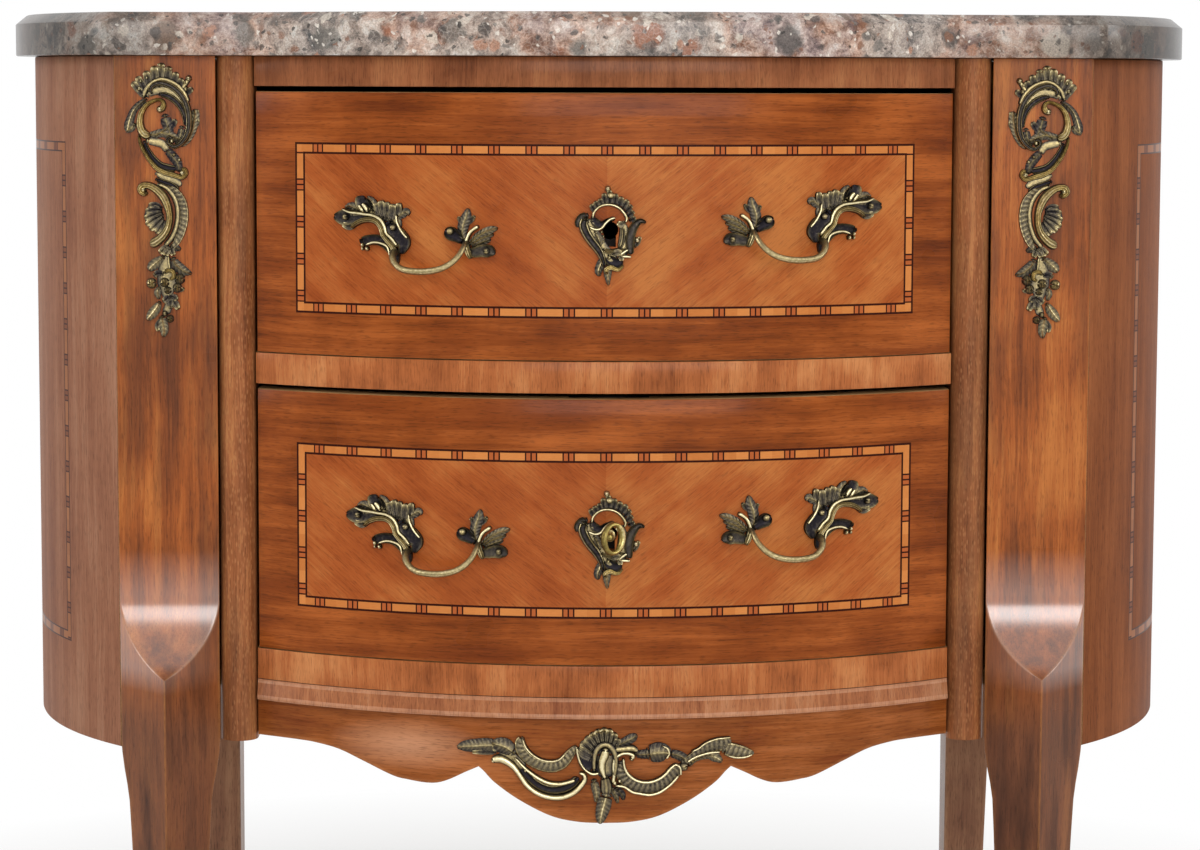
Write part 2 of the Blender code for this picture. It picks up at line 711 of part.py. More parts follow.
def make_case(chest):
    """Legs, pilasters, rails, panels, boards and runners."""
    for side, word in ((-1, "left"), (1, "right")):
        make_front_leg(chest, side, "front_leg_" + word)
        make_rear_leg(chest, side, "rear_leg_" + word)
        make_pilaster(chest, side, "pilaster_" + word)
        make_side_panel(chest, side, "side_panel_" + word)
        make_runner(chest, side, "upper_runner_" + word, lower_opening_top_z, upper_opening_bottom_z)
        make_runner(chest, side, "lower_runner_" + word, bottom_rail_z, lower_opening_bottom_z)
    half_width = opening_half_width - fit_gap
    top_rail = place_part("top_rail", bow_bar(half_width, upper_opening_top_z, case_top_z - fit_gap,
                                              rail_depth), crossband, chest)
    cut_mortise(top_rail, upper_opening_top_z)
    mid_rail = place_part("middle_rail", bow_bar(half_width, lower_opening_top_z,
                                                 upper_opening_bottom_z, rail_depth), crossband, chest)
    cut_mortise(mid_rail, lower_opening_top_z)
    bottom_rail = bow_bar(half_width, bottom_rail_z, lower_opening_bottom_z, rail_depth)
    place_part("bottom_rail", bottom_rail, crossband, chest)
    back = back_points(back_half_width, 0) + back_points(back_half_width, back_thickness)[::-1]
    place_part("back_panel", prism([back], side_bottom_z, case_top_z - fit_gap), carcass_wood, chest)
    top_board = prism([interior_outline()], upper_opening_top_z, upper_opening_top_z + top_board_thickness)
    place_part("top_board", top_board, carcass_wood, chest)
    dust_z = (lower_opening_top_z + upper_opening_bottom_z - dust_board_thickness) / 2
    dust_board = prism([inner_board(runner_inner_x - fit_gap)], dust_z, dust_z + dust_board_thickness)
    place_part("dust_board", dust_board, carcass_wood, chest)
    board_top_z = bottom_rail_z - fit_gap
    bottom_board = prism([interior_outline()], board_top_z - board_thickness, board_top_z)
    place_part("bottom_board", bottom_board, carcass_wood, chest)


def make_moulding_and_apron(chest):
    """The sloped strip under the bottom rail, and the shaped apron under the strip."""
    length = bow_radius * math.asin((opening_half_width - fit_gap) / (bow_radius + moulding_projection))
    top_z = bottom_rail_z - fit_gap
    profile = [(-rail_depth, moulding_bottom_z), (moulding_projection, moulding_bottom_z),
               (0, top_z), (-rail_depth, top_z)]
    strip = prism([profile], -length, length)
    strip.transform(lay_along)
    place_part("apron_moulding", wrap_on_bow(strip), crossband, chest)
    half = bow_arc_length(opening_half_width - fit_gap)
    top_z = moulding_bottom_z - fit_gap
    edge = [(half * share_x, moulding_bottom_z - apron_drop * share_z)
            for share_x, share_z in apron_edge_shares]
    outline = [(-half, top_z)] + [(-x, z) for x, z in edge] + edge[-2::-1] + [(half, top_z)]
    apron = prism([outline], -apron_thickness, 0)
    place_part("apron", wrap_on_bow(apron), mahogany, chest)


def keyhole_outline(grow=0.0, x=0.0, z=0.0):
    """A round hole with a slot below it, as seen from the front."""
    radius = keyhole_radius + grow
    half_slot = keyhole_slot_width / 2 + grow
    meeting = math.asin(half_slot / radius)
    span = 2 * (math.pi - meeting)
    points = [(x - half_slot, z - keyhole_slot_drop - grow)]
    for step in range(hole_segments + 1):
        angle = -math.pi / 2 - meeting - span * step / hole_segments
        points.append((x + radius * math.cos(angle), z + radius * math.sin(angle)))
    return points + [(x + half_slot, z - keyhole_slot_drop - grow)]


def make_handle(drawer, name, face_height):
    """A one-piece pull: a large leaf, a small leaf and the bar that bows out between them."""
    share_x, share_down = handle_place_shares[name]
    side = 1 if share_x > 0 else -1
    middle = share_x * bow_arc_length(opening_half_width - drawer_gap_side)
    outboard = middle + side * handle_width / 2
    low = face_height * (1 - share_down) - handle_height / 2
    plates = [prism([scaled(shares, handle_width, handle_height, outboard, low, -side)],
                    fit_gap, fit_gap + plate_thickness) for shares in (leaf_shares, leaflet_shares)]
    root = fit_gap + plate_thickness / 2
    path = []
    for step, (x, z) in enumerate(scaled(bar_shares, handle_width, handle_height, outboard, low, -side)):
        rise = math.sin(math.pi * step / (len(bar_shares) - 1)) ** (1 / 2)
        path.append((x, z, root + (handle_bar_reach - root) * rise))
    mesh = joined([tube(path, handle_bar_radius)] + plates)
    place_part(name + "_handle", wrap_on_bow(mesh), bronze, drawer)


def make_escutcheon(drawer, name, keyhole_z):
    """The pierced plate around a keyhole."""
    left = bow_arc_length(keyhole_x) - escutcheon_keyhole_share_x * escutcheon_width
    low = keyhole_z - escutcheon_keyhole_share_z * escutcheon_height
    outlines = [scaled(shares, escutcheon_width, escutcheon_height, left, low)
                for shares in (escutcheon_shares, window_shares)]
    outlines.append(keyhole_outline(0, keyhole_x, keyhole_z))
    mesh = prism(outlines, fit_gap, fit_gap + plate_thickness)
    place_part(name, wrap_on_bow(mesh), bronze, drawer)


def make_lock(drawer, level, top_z, keyhole_z):
    """The lock case let into the back of the drawer front, and its bolt."""
    back_y = front_thickness
    front_y = back_y - lock_thickness
    half = lock_width / 2 - fit_gap
    bottom_z = top_z - lock_height
    lock = place_part(level + "_lock", box((keyhole_x - half, front_y, bottom_z),
                                           (keyhole_x + half, back_y, top_z)), iron, drawer)
    bolt_y = (front_y + back_y) / 2
    half_width = bolt_width / 2
    half_depth = bolt_thickness / 2
    bolt_bottom_z = top_z - bolt_top_inset - bolt_length
    gap = bolt_running_gap
    cut(lock, box((keyhole_x - half_width - gap, bolt_y - half_depth - gap, bolt_bottom_z - gap),
                  (keyhole_x + half_width + gap, bolt_y + half_depth + gap, top_z + cutter_overrun)))
    cut(lock, rod(key_bore_radius, front_y - cutter_overrun, back_y + cutter_overrun,
                  keyhole_x, keyhole_z))
    bolt = box((-half_width, -half_depth, -bolt_length / 2), (half_width, half_depth, bolt_length / 2))
    place_part(level + "_bolt", bolt, iron, drawer, (keyhole_x, bolt_y, bolt_bottom_z + bolt_length / 2))


def make_drawer(chest, level, bottom_z, opening_height):
    """One drawer: bowed front, two sides, back, bottom, lock, bolt, escutcheon and two handles."""
    drawer = new_empty(level + "_drawer", (0, 0, bottom_z + drawer_gap_below), chest)
    face_height = opening_height - drawer_gap_above - drawer_gap_below
    face_half_width = opening_half_width - drawer_gap_side
    keyhole_z = face_height - keyhole_drop
    front = place_part(level + "_drawer_front", bow_bar(face_half_width, 0, face_height, front_thickness),
                       veneer, drawer)
    recess_half = lock_width / 2
    cut(front, box((keyhole_x - recess_half, front_thickness - lock_thickness - fit_gap,
                    face_height - lock_height - fit_gap),
                   (keyhole_x + recess_half, front_thickness + rail_depth, face_height + cutter_overrun)))
    hole = prism([keyhole_outline(0, keyhole_x, keyhole_z)], -front_thickness, cutter_overrun)
    hole.transform(stand_up)
    cut(front, hole)
    outer_x = face_half_width - drawer_side_inset
    inner_x = outer_x - drawer_side_thickness
    for side, word in ((-1, "left"), (1, "right")):
        outline = [(inner_x, bow_y(inner_x, front_thickness) + fit_gap),
                   (outer_x, bow_y(outer_x, front_thickness) + fit_gap),
                   (outer_x, drawer_back_y), (inner_x, drawer_back_y)]
        mesh = prism([mirrored(outline, side)], 0, drawer_side_height)
        place_part(level + "_drawer_side_" + word, mesh, carcass_wood, drawer)
        make_handle(drawer, level + "_" + word, face_height)
    half_width = inner_x - fit_gap
    bottom_outline = bow_points(half_width, front_thickness + fit_gap)
    bottom_outline += [(half_width, drawer_back_y), (-half_width, drawer_back_y)]
    bottom_top = drawer_bottom_lift + drawer_bottom_thickness
    place_part(level + "_drawer_bottom", prism([bottom_outline], drawer_bottom_lift, bottom_top),
               carcass_wood, drawer)
    back = box((-half_width, drawer_back_y - drawer_back_thickness, bottom_top + fit_gap),
               (half_width, drawer_back_y, drawer_side_height - drawer_back_drop))
    place_part(level + "_drawer_back", back, carcass_wood, drawer)
    make_lock(drawer, level, face_height, keyhole_z)
    make_escutcheon(drawer, level + "_escutcheon", keyhole_z)
    return drawer, keyhole_z


def make_key(drawer, keyhole_z):
    """The key in the lower lock: stem, bit and an oval bow that stands askew."""
    along = key_bow_width / 2 - key_bow_wire
    up = key_bow_height / 2 - key_bow_wire
    reach_x = along * math.sin(key_bow_turn)
    reach_y = along * math.cos(key_bow_turn)
    neck_y = reach_y - key_bow_distance
    stem = rod(key_stem_radius, neck_y - key_bow_wire * (1 - math.cos(key_bow_turn)), key_stem_depth)
    bit = box((-key_bit_width / 2, key_stem_depth - key_bit_length, -key_bit_reach),
              (key_bit_width / 2, key_stem_depth, 0))
    ring = []
    for step in range(2 * hole_segments):
        angle = math.pi * step / hole_segments
        ring.append((reach_x * math.cos(angle), reach_y * math.cos(angle) - key_bow_distance,
                     up * math.sin(angle)))
    link = tube([(reach_x, neck_y, 0), (0, neck_y + key_bow_wire, 0)], key_bow_wire)
    key = joined([stem, bit, link, tube(ring, key_bow_wire, closed=True)])
    place_part("key", key, brass, drawer, (keyhole_x, 0, keyhole_z))


def make_case_mounts(chest):
    """Corner chutes on the facets, and the mount in the middle of the apron."""
    for side, word in ((-1, "left"), (1, "right")):
        outlines = [scaled(shares, chute_width, chute_height, side * chute_width / 2, 0, -side)
                    for shares in (chute_shares, *chute_window_shares)]
        mesh = prism(outlines, fit_gap, fit_gap + plate_thickness)
        mesh.transform(stand_up)
        place_part("chute_" + word, mesh, bronze, chest,
                   (side * chute_x, facet_setback, case_top_z - chute_drop - chute_height))
        make_sabot(chest, side, "sabot_" + word)
    outlines = [scaled(shares, apron_mount_width, apron_mount_height, -apron_mount_width / 2,
                       moulding_bottom_z - apron_mount_drop - apron_mount_height)
                for shares in (apron_mount_shares, *apron_mount_window_shares)]
    mesh = prism(outlines, fit_gap, fit_gap + apron_mount_thickness)
    place_part("apron_mount", wrap_on_bow(mesh), bronze, chest)


chest_origin = new_empty("chest_origin", (0, -plan_middle_y, 0))
make_marble(chest_origin)
make_case(chest_origin)
make_moulding_and_apron(chest_origin)
make_case_mounts(chest_origin)
make_drawer(chest_origin, "upper", upper_opening_bottom_z, upper_opening_height)
lower_drawer, lower_keyhole_z = make_drawer(chest_origin, "lower", lower_opening_bottom_z,
                                            lower_opening_height)
make_key(lower_drawer, lower_keyhole_z)
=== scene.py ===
import math

import bmesh
import bpy
import numpy as np
from mathutils import Matrix, Vector


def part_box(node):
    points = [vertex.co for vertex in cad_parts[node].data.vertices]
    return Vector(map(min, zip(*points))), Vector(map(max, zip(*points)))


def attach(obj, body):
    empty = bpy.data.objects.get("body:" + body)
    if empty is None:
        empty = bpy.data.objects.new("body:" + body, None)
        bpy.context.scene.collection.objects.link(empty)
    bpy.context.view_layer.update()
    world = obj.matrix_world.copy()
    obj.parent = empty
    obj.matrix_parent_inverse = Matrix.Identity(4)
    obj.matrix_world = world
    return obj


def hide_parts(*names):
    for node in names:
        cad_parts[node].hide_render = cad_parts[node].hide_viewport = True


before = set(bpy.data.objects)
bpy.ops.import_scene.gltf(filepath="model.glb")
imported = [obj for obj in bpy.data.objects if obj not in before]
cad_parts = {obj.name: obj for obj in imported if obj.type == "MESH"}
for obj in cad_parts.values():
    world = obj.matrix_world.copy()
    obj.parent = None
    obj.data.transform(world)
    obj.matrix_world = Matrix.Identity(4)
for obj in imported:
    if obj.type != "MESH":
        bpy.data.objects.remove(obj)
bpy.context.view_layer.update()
print("frame loaded,", len(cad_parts), "nodes")

mm = 0.001
quarter = math.radians(90)
bothSides = ((-1, "left"), (1, "right"))
bothLevels = ("upper", "lower")

# The bowed front as packed, seen from above: most pieces hang on it
bow = {"radius": 410.3 * mm, "frontY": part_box("upper_drawer_front")[0].y}
bow["centreY"] = bow["frontY"] + bow["radius"]


def linear(hexText):
    values = [int(hexText[i:i + 2], 16) / 255 for i in (0, 2, 4)]
    return tuple(v / 12.92 if v <= 0.04045 else ((v + 0.055) / 1.055) ** 2.4 for v in values) + (1.0,)


def feed(tree, node, links):
    # links maps a socket to a value, a colour in hex, another socket, or a node, whose first output in use
    # counts
    for key, value in links.items():
        if isinstance(value, bpy.types.Node):
            value = next(socket for socket in value.outputs if socket.enabled)
        if isinstance(value, bpy.types.NodeSocket):
            tree.links.new(value, node.inputs[key])
        else:
            node.inputs[key].default_value = linear(value) if isinstance(value, str) else value


def addNode(tree, kind, links=None, stops=None, **settings):
    # one node: settings are its properties, links feed it, stops are the places and colours of its ramp
    node = tree.nodes.new("ShaderNode" + kind)
    for key, value in settings.items():
        setattr(node, key, value)
    feed(tree, node, links or {})
    if stops:
        ramp = node.color_ramp
        while len(ramp.elements) < len(stops):
            ramp.elements.new(0.5)
        for element, (place, color) in zip(ramp.elements, stops):
            element.position, element.color = place, linear(color)
    return node


def newMaterial(name, inputs):
    material = bpy.data.materials.new(name)
    material.use_nodes = True
    tree = material.node_tree
    shader = tree.nodes["Principled BSDF"]
    feed(tree, shader, inputs)
    return material, tree, shader


# Sawn and polished wood. The grain runs along the first map axis, turned by "turn" degrees. "tones" are
# dark, middle and light, "figure" is the width of the broad stripes in mm, "streak" of the fine ones, and
# "pore" of the open pores, which are drawn about three times their real width so that they show. These
# values hold where a look has none.
plainWood = {"roughness": 0.3, "specular": 0.08, "coat": 0.06, "coatRoughness": 0.12, "axisTurn": (0, 0, 0),
             "turn": 0, "wander": 0.006, "cloud": 70, "stretch": 14, "figureShare": 0.45,
             "streakShare": 0.25, "cloudShare": 0.3, "leafShare": 0.12, "poreShare": 0.3, "stainShare": 0.5,
             "wornShare": 1.1, "spread": 0.16}


def woodMaterial(name, look):
    look = {**plainWood, **look}
    material, tree, shader = newMaterial(name, {
        "Specular IOR Level": look["specular"], "Coat Weight": look["coat"],
        "Coat Roughness": look["coatRoughness"]})
    if look.get("solid"):
        place = addNode(tree, "TexCoord").outputs["Object"]
    else:
        place = addNode(tree, "UVMap", uv_map="UVMap").outputs[0]
    if look.get("halfShare"):  # book-matched: the two halves mirror each other
        parts = addNode(tree, "SeparateXYZ", {0: place}).outputs
        half = addNode(tree, "Math", {0: parts[0]}, operation="ABSOLUTE")
        place = addNode(tree, "CombineXYZ", {0: half, 1: parts[1], 2: parts[2]}).outputs[0]
    rotation = look["axisTurn"][:2] + (look["axisTurn"][2] - math.radians(look["turn"]),)
    turned = addNode(tree, "Mapping", {0: place, "Rotation": rotation})
    wander = addNode(tree, "TexNoise", {"Vector": turned, "Scale": 9, "Detail": 2}).outputs[1]
    push = addNode(tree, "VectorMath", {0: wander, "Scale": look["wander"]}, operation="SCALE")
    bent = addNode(tree, "VectorMath", {0: turned, 1: push}, operation="ADD")

    def stripes(width, length, detail, roughness=0.6):
        # noise drawn out along the grain, sizes in mm
        stretch = addNode(tree, "Mapping", {0: bent, "Scale": (1000 / length, 1000 / width, 1000 / width)})
        return addNode(tree, "TexNoise", {"Vector": stretch, "Scale": 1, "Detail": detail,
                                          "Roughness": roughness})

    figure = stripes(look["figure"], look["figure"] * look["stretch"], 3)
    streak = stripes(look["streak"], look["streak"] * 34, 2)
    pore = stripes(look["pore"], look["pore"] * 12, 1)
    cloud = addNode(tree, "TexNoise", {"Vector": place, "Scale": 1000 / look["cloud"], "Detail": 3})
    tone = addNode(tree, "Math", {0: figure, 1: look["figureShare"]}, operation="MULTIPLY")
    layers = [(streak, "streakShare"), (cloud, "cloudShare")]
    middle = (look["figureShare"] + look["streakShare"] + look["cloudShare"]) / 2
    if look.get("halfShare"):  # the mirrored half catches the light differently
        right = addNode(tree, "Math", {0: parts[0], 1: 0.0}, operation="GREATER_THAN")
        layers.append((right, "halfShare"))
    if look.get("leaf"):  # sheets of veneer laid side by side, each with its own tone
        across = addNode(tree, "SeparateXYZ", {0: place})
        sheet = addNode(tree, "Math", {0: across, 1: 1000 / look["leaf"], 2: 0.37}, operation="MULTIPLY_ADD")
        number = addNode(tree, "Math", {0: sheet}, operation="FLOOR")
        layers.append((addNode(tree, "TexWhiteNoise", {"W": number}, noise_dimensions="1D"), "leafShare"))
        middle += look["leafShare"] / 2
    for layer, share in layers:
        tone = addNode(tree, "Math", {0: layer, 1: look[share], 2: tone}, operation="MULTIPLY_ADD")
    places = middle - look["spread"], middle, middle + look["spread"]
    color = addNode(tree, "ValToRGB", {0: tone}, stops=list(zip(places, look["tones"])))
    if look.get("fleck"):  # ray flecks: short lens-shaped marks across the grain
        stretch = addNode(tree, "Mapping", {0: bent, "Scale": (1000 / 5, 1000 / 1.6, 1000 / 1.6)})
        cells = addNode(tree, "TexVoronoi", {"Vector": stretch, "Scale": 1, "Randomness": 0.8})
        mark = addNode(tree, "ValToRGB", {0: cells}, stops=[(0.18, "ffffff"), (0.42, "000000")])
        strength = addNode(tree, "Math", {0: mark, 1: 0.5}, operation="MULTIPLY")
        color = addNode(tree, "Mix", {0: strength, 6: color, 7: look["fleck"]}, data_type="RGBA")
    deep = look["stainShare"]
    if look.get("foot"):
        # darker and duller towards the floor: full below the low height, none above the high one
        foot = look["foot"]
        height = addNode(tree, "SeparateXYZ", {0: addNode(tree, "TexCoord").outputs["Object"]}).outputs[2]
        reach = {0: height, 1: foot["low"] * mm, 2: foot["high"] * mm}
        down = addNode(tree, "MapRange", {**reach, 3: 1, 4: 0})
        down = addNode(tree, "Math", {0: down, 1: foot["share"]}, operation="MULTIPLY")
        color = addNode(tree, "Mix", {0: down, 6: color, 7: foot["color"]}, data_type="RGBA")
        deep = addNode(tree, "MapRange", {**reach, 3: foot["stain"], 4: deep})
        # the rounded knee above it is rubbed to a high gloss: none below, full between, none above
        low, full, top, none = [value * mm for value in look["gloss"]]
        rise = addNode(tree, "MapRange", {0: height, 1: low, 2: full, 3: look["coat"], 4: 1})
        fall = addNode(tree, "MapRange", {0: height, 1: top, 2: none, 3: 1, 4: look["coat"]})
        both = addNode(tree, "Math", {0: rise, 1: fall}, operation="MINIMUM")
        feed(tree, shader, {"Coat Weight": both, "Coat IOR": look["glossIor"]})
    if look.get("stain"):  # soaked-in dirt, drawn out along the grain
        soak = addNode(tree, "ValToRGB", {0: stripes(17, 110, 3, 0.55)},
                       stops=[(0.46, "000000"), (0.68, "ffffff")])
        soak = addNode(tree, "Math", {0: soak, 1: deep}, operation="MULTIPLY")
        color = addNode(tree, "Mix", {0: soak, 6: color, 7: look["stain"]}, data_type="RGBA")
    if look.get("cloudy"):  # a pale patch painted in for a sheen of reflected light on the polish: place and reach in mm, colour
        spot, reach, tint = look["cloudy"]
        shifted = addNode(tree, "Mapping", {0: addNode(tree, "TexCoord").outputs["Object"],
                                            "Location": [-s / r for s, r in zip(spot, reach)],
                                            "Scale": [1000 / r for r in reach]})
        inside = addNode(tree, "VectorMath", {0: shifted}, operation="LENGTH")
        inside = addNode(tree, "MapRange", {0: inside, 1: 0.2, 2: 1.0, 3: 0.65, 4: 0.0})
        color = addNode(tree, "Mix", {0: inside, 6: color, 7: tint}, data_type="RGBA")
    if look.get("worn"):  # paler edges from the piece's own wear map: rubbed wear, and on the moulding also a painted highlight along its edges
        wear = addNode(tree, "Attribute", attribute_name="wear").outputs["Fac"]
        patch = addNode(tree, "TexNoise", {"Vector": place, "Scale": 160, "Detail": 3})
        rubAndSheen = addNode(tree, "Math", {0: wear, 1: patch}, operation="MULTIPLY")
        rubAndSheen = addNode(tree, "Math", {0: rubAndSheen, 1: look["wornShare"]}, operation="MULTIPLY", use_clamp=True)
        color = addNode(tree, "Mix", {0: rubAndSheen, 6: color, 7: look["worn"]}, data_type="RGBA")
    pits = addNode(tree, "ValToRGB", {0: pore}, stops=[(0.34, "000000"), (0.44, "ffffff")])
    dim = addNode(tree, "Math", {0: pits, 1: look["poreShare"], 2: 1 - look["poreShare"]},
                  operation="MULTIPLY_ADD")
    color = addNode(tree, "Mix", {0: 1.0, 6: color, 7: dim}, data_type="RGBA", blend_type="MULTIPLY")
    rough = addNode(tree, "Math", {0: cloud, 1: 0.16, 2: look["roughness"] - 0.08}, operation="MULTIPLY_ADD")
    relief = addNode(tree, "Math", {0: pits, 1: streak}, operation="ADD")
    bump = addNode(tree, "Bump", {"Height": relief, "Strength": 0.25, "Distance": 0.0001})
    feed(tree, shader, {"Base Color": color, "Roughness": rough, "Normal": bump})
    return material


crossband = {"turn": 90, "figure": 7, "streak": 1.1, "pore": 0.5, "cloud": 45, "stretch": 9, "leaf": 26,
             "leafShare": 0.07, "figureShare": 0.3, "streakShare": 0.2, "cloudShare": 0.5}
post = {"solid": True, "axisTurn": (0, quarter, 0), "figure": 10, "streak": 1.3, "pore": 0.6, "cloud": 60,
        "stretch": 20}
endSheet = {"turn": 90, "figure": 13, "streak": 1.3, "pore": 0.6, "cloud": 90, "stretch": 20,
            "roughness": 0.5, "coat": 0.0, "specular": 0.05, "spread": 0.14}
rawOak = {"tones": ("6f5133", "94714a", "b08d62"), "solid": True, "figure": 9, "streak": 1.2, "pore": 0.7,
          "cloud": 90, "roughness": 0.62, "coat": 0.0}
woodLooks = {
    # knife-cut kingwood-toned veneer, laid on the slant and book-matched at the middle of the drawer
    "slantedFieldVeneer": {"tones": ("823b14", "9b4f21", "b06a35"), "halfShare": 0.06, "turn": 38,
                           "figure": 13, "streak": 1.0, "pore": 0.5, "cloud": 45, "stretch": 16,
                           "figureShare": 0.3, "streakShare": 0.2, "cloudShare": 0.5, "poreShare": 0.25,
                           "spread": 0.14},
    # plain-cut mahogany border round the inlay, grain across the drawer
    "borderMahogany": {"tones": ("5e290a", "854216", "a25724"), "figure": 9, "streak": 1.3, "pore": 0.6,
                       "cloud": 55, "stretch": 18, "figureShare": 0.4, "streakShare": 0.2, "cloudShare": 0.4,
                       "stain": "662b0a", "stainShare": 0.55, "spread": 0.13},
    # tulipwood sheets with upright grain, glued side by side along the rails
    "crossbandRail": {**crossband, "tones": ("79401f", "a35e33", "bc7d4d")},
    # the top rail's sheets are painted darker for the shade under the marble's overhang
    "crossbandTop": {**crossband, "tones": ("68391f", "8d5534", "a56d46")},
    # the moulding's paler edge lines are partly rubbed wear, partly a painted highlight
    "crossbandMoulding": {"tones": ("7c472d", "9b613e", "ad7855"), "turn": 90, "figure": 6, "streak": 1.1,
                          "pore": 0.5, "cloud": 60, "leaf": 38, "stretch": 9, "roughness": 0.36,
                          "worn": "c09072", "wornShare": 0.9},
    # French-polished mahogany on legs and panels, grain upright through the solid post
    "postMahogany": {**post, "tones": ("6b3615", "975021", "b16a32"), "coat": 0.05, "coatRoughness": 0.26,
                     "specular": 0.1, "spread": 0.12, "worn": "bf8246", "wornShare": 0.45, "stain": "432618",
                     "stainShare": 0.6, "gloss": (352, 366, 412, 440), "glossIor": 2.1,
                     "foot": {"low": 325, "high": 395, "color": "5e3f2e", "share": 0.7, "stain": 0.95}},
    "rearMahogany": {**post, "tones": ("694636", "855f48", "9b7559"), "worn": "ae8b6e"},
    # the apron carries a pale painted reflection patch on its left part
    "apronMahogany": {"tones": ("6c3212", "8a4b1f", "a96436"), "figure": 10, "streak": 1.4, "pore": 0.6,
                      "cloud": 55, "worn": "b87e50", "wornShare": 0.6, "stain": "613315", "stainShare": 0.3,
                      "spread": 0.13, "cloudy": ((-123, -100, 324), (52, 500, 17), "c08d6c")},
    "sideMahogany": {**endSheet, "tones": ("5e3119", "774324", "8c5330")},
    # the same veneer on the left end, painted paler and greyer for the sheen of light reflected on it
    "sideMahoganyPaintedSheen": {**endSheet, "tones": ("744936", "8a5d46", "9c735b")},
    # quarter-sawn beech, stained: small ray flecks give it a speckled, paler look
    "pilasterBeech": {"tones": ("703f23", "925834", "b17648"), "solid": True, "axisTurn": (0, quarter, 0),
                      "figure": 6, "streak": 0.9, "pore": 0.5, "cloud": 50, "stretch": 22, "roughness": 0.36,
                      "fleck": "ae784c", "stain": "593f2c", "stainShare": 0.4, "spread": 0.13},
    # unpolished oak inside the case, with its grain along the piece or from front to back
    "carcassOak": rawOak,
    "carcassOakDeep": {**rawOak, "axisTurn": (0, 0, quarter)},
    "backOak": {"tones": ("553823", "745134", "8d6a46"), "turn": 90, "figure": 12, "streak": 1.4, "pore": 0.8,
                "cloud": 90, "roughness": 0.66, "coat": 0.0, "leaf": 88, "leafShare": 0.2},
}
woods = {name: woodMaterial(name, look) for name, look in woodLooks.items()}
print("woods ready:", len(woods))

# Banding: strips of maple set end to end with padauk squares between ebony lines. The map runs along the
# strip, and one pitch of it, in mm, has a light piece from its middle on and two squares round its ends.
bandLooks = {
    "mapleBanding": {"pitch": 23.2, "maple": "cc8549", "mapleDeep": "ae6530", "padauk": "a4562c",
                     "ebony": "2c0f07"},
    "fadedBanding": {"pitch": 23.2, "maple": "96603a", "mapleDeep": "84502f", "padauk": "6e3c20",
                     "ebony": "3c1a0e"},
}
inlayPolish = {"Roughness": 0.3, "Specular IOR Level": 0.06}


def bandMaterial(name, look):
    material, tree, shader = newMaterial(name, inlayPolish)
    place = addNode(tree, "UVMap", uv_map="UVMap")
    along = addNode(tree, "SeparateXYZ", {0: place})
    turns = addNode(tree, "Math", {0: along, 1: 1000 / look["pitch"], 2: 0.5}, operation="MULTIPLY_ADD")
    share = addNode(tree, "Math", {0: turns}, operation="FRACT")
    number = addNode(tree, "Math", {0: turns}, operation="FLOOR")
    chance = addNode(tree, "TexWhiteNoise", {"W": number}, noise_dimensions="1D")
    pattern = addNode(tree, "ValToRGB", {0: share}, stops=[
        (0.0, "ffffff"), (0.335, "000000"), (0.375, "808080"), (0.48, "000000"), (0.52, "808080"),
        (0.625, "000000"), (0.665, "ffffff")])
    pattern.color_ramp.interpolation = "CONSTANT"
    stretch = addNode(tree, "Mapping", {0: place, "Scale": (300, 1800, 1)})
    grain = addNode(tree, "TexNoise", {"Vector": stretch, "Scale": 1, "Detail": 3})
    blend = addNode(tree, "Math", {0: chance, 1: 0.7, 2: grain}, operation="MULTIPLY_ADD")
    blend = addNode(tree, "Math", {0: blend, 1: 0.7}, operation="MULTIPLY", use_clamp=True)
    maple = addNode(tree, "Mix", {0: blend, 6: look["maple"], 7: look["mapleDeep"]}, data_type="RGBA")
    isLight = addNode(tree, "Math", {0: pattern, 1: 0.7}, operation="GREATER_THAN")
    isSquare = addNode(tree, "Math", {0: pattern, 1: 0.1}, operation="GREATER_THAN")
    color = addNode(tree, "Mix", {0: isSquare, 6: look["ebony"], 7: look["padauk"]}, data_type="RGBA")
    color = addNode(tree, "Mix", {0: isLight, 6: color, 7: maple}, data_type="RGBA")
    bump = addNode(tree, "Bump", {"Height": grain, "Strength": 0.2, "Distance": 0.0001})
    feed(tree, shader, {"Base Color": color, "Normal": bump})
    return material


def lineMaterial(name, color):
    # ebonised stringing: almost black, with the same polish as the veneer round it
    material, tree, shader = newMaterial(name, inlayPolish)
    speck = addNode(tree, "TexNoise", {"Vector": addNode(tree, "UVMap", uv_map="UVMap"), "Scale": 900,
                                       "Detail": 2})
    tone = addNode(tree, "ValToRGB", {0: speck}, stops=[(0.4, color), (0.8, "3c170a")])
    feed(tree, shader, {"Base Color": tone})
    return material


bandings = {name: bandMaterial(name, look) for name, look in bandLooks.items()}
stringing = lineMaterial("ebonyStringing", bandLooks["mapleBanding"]["ebony"])

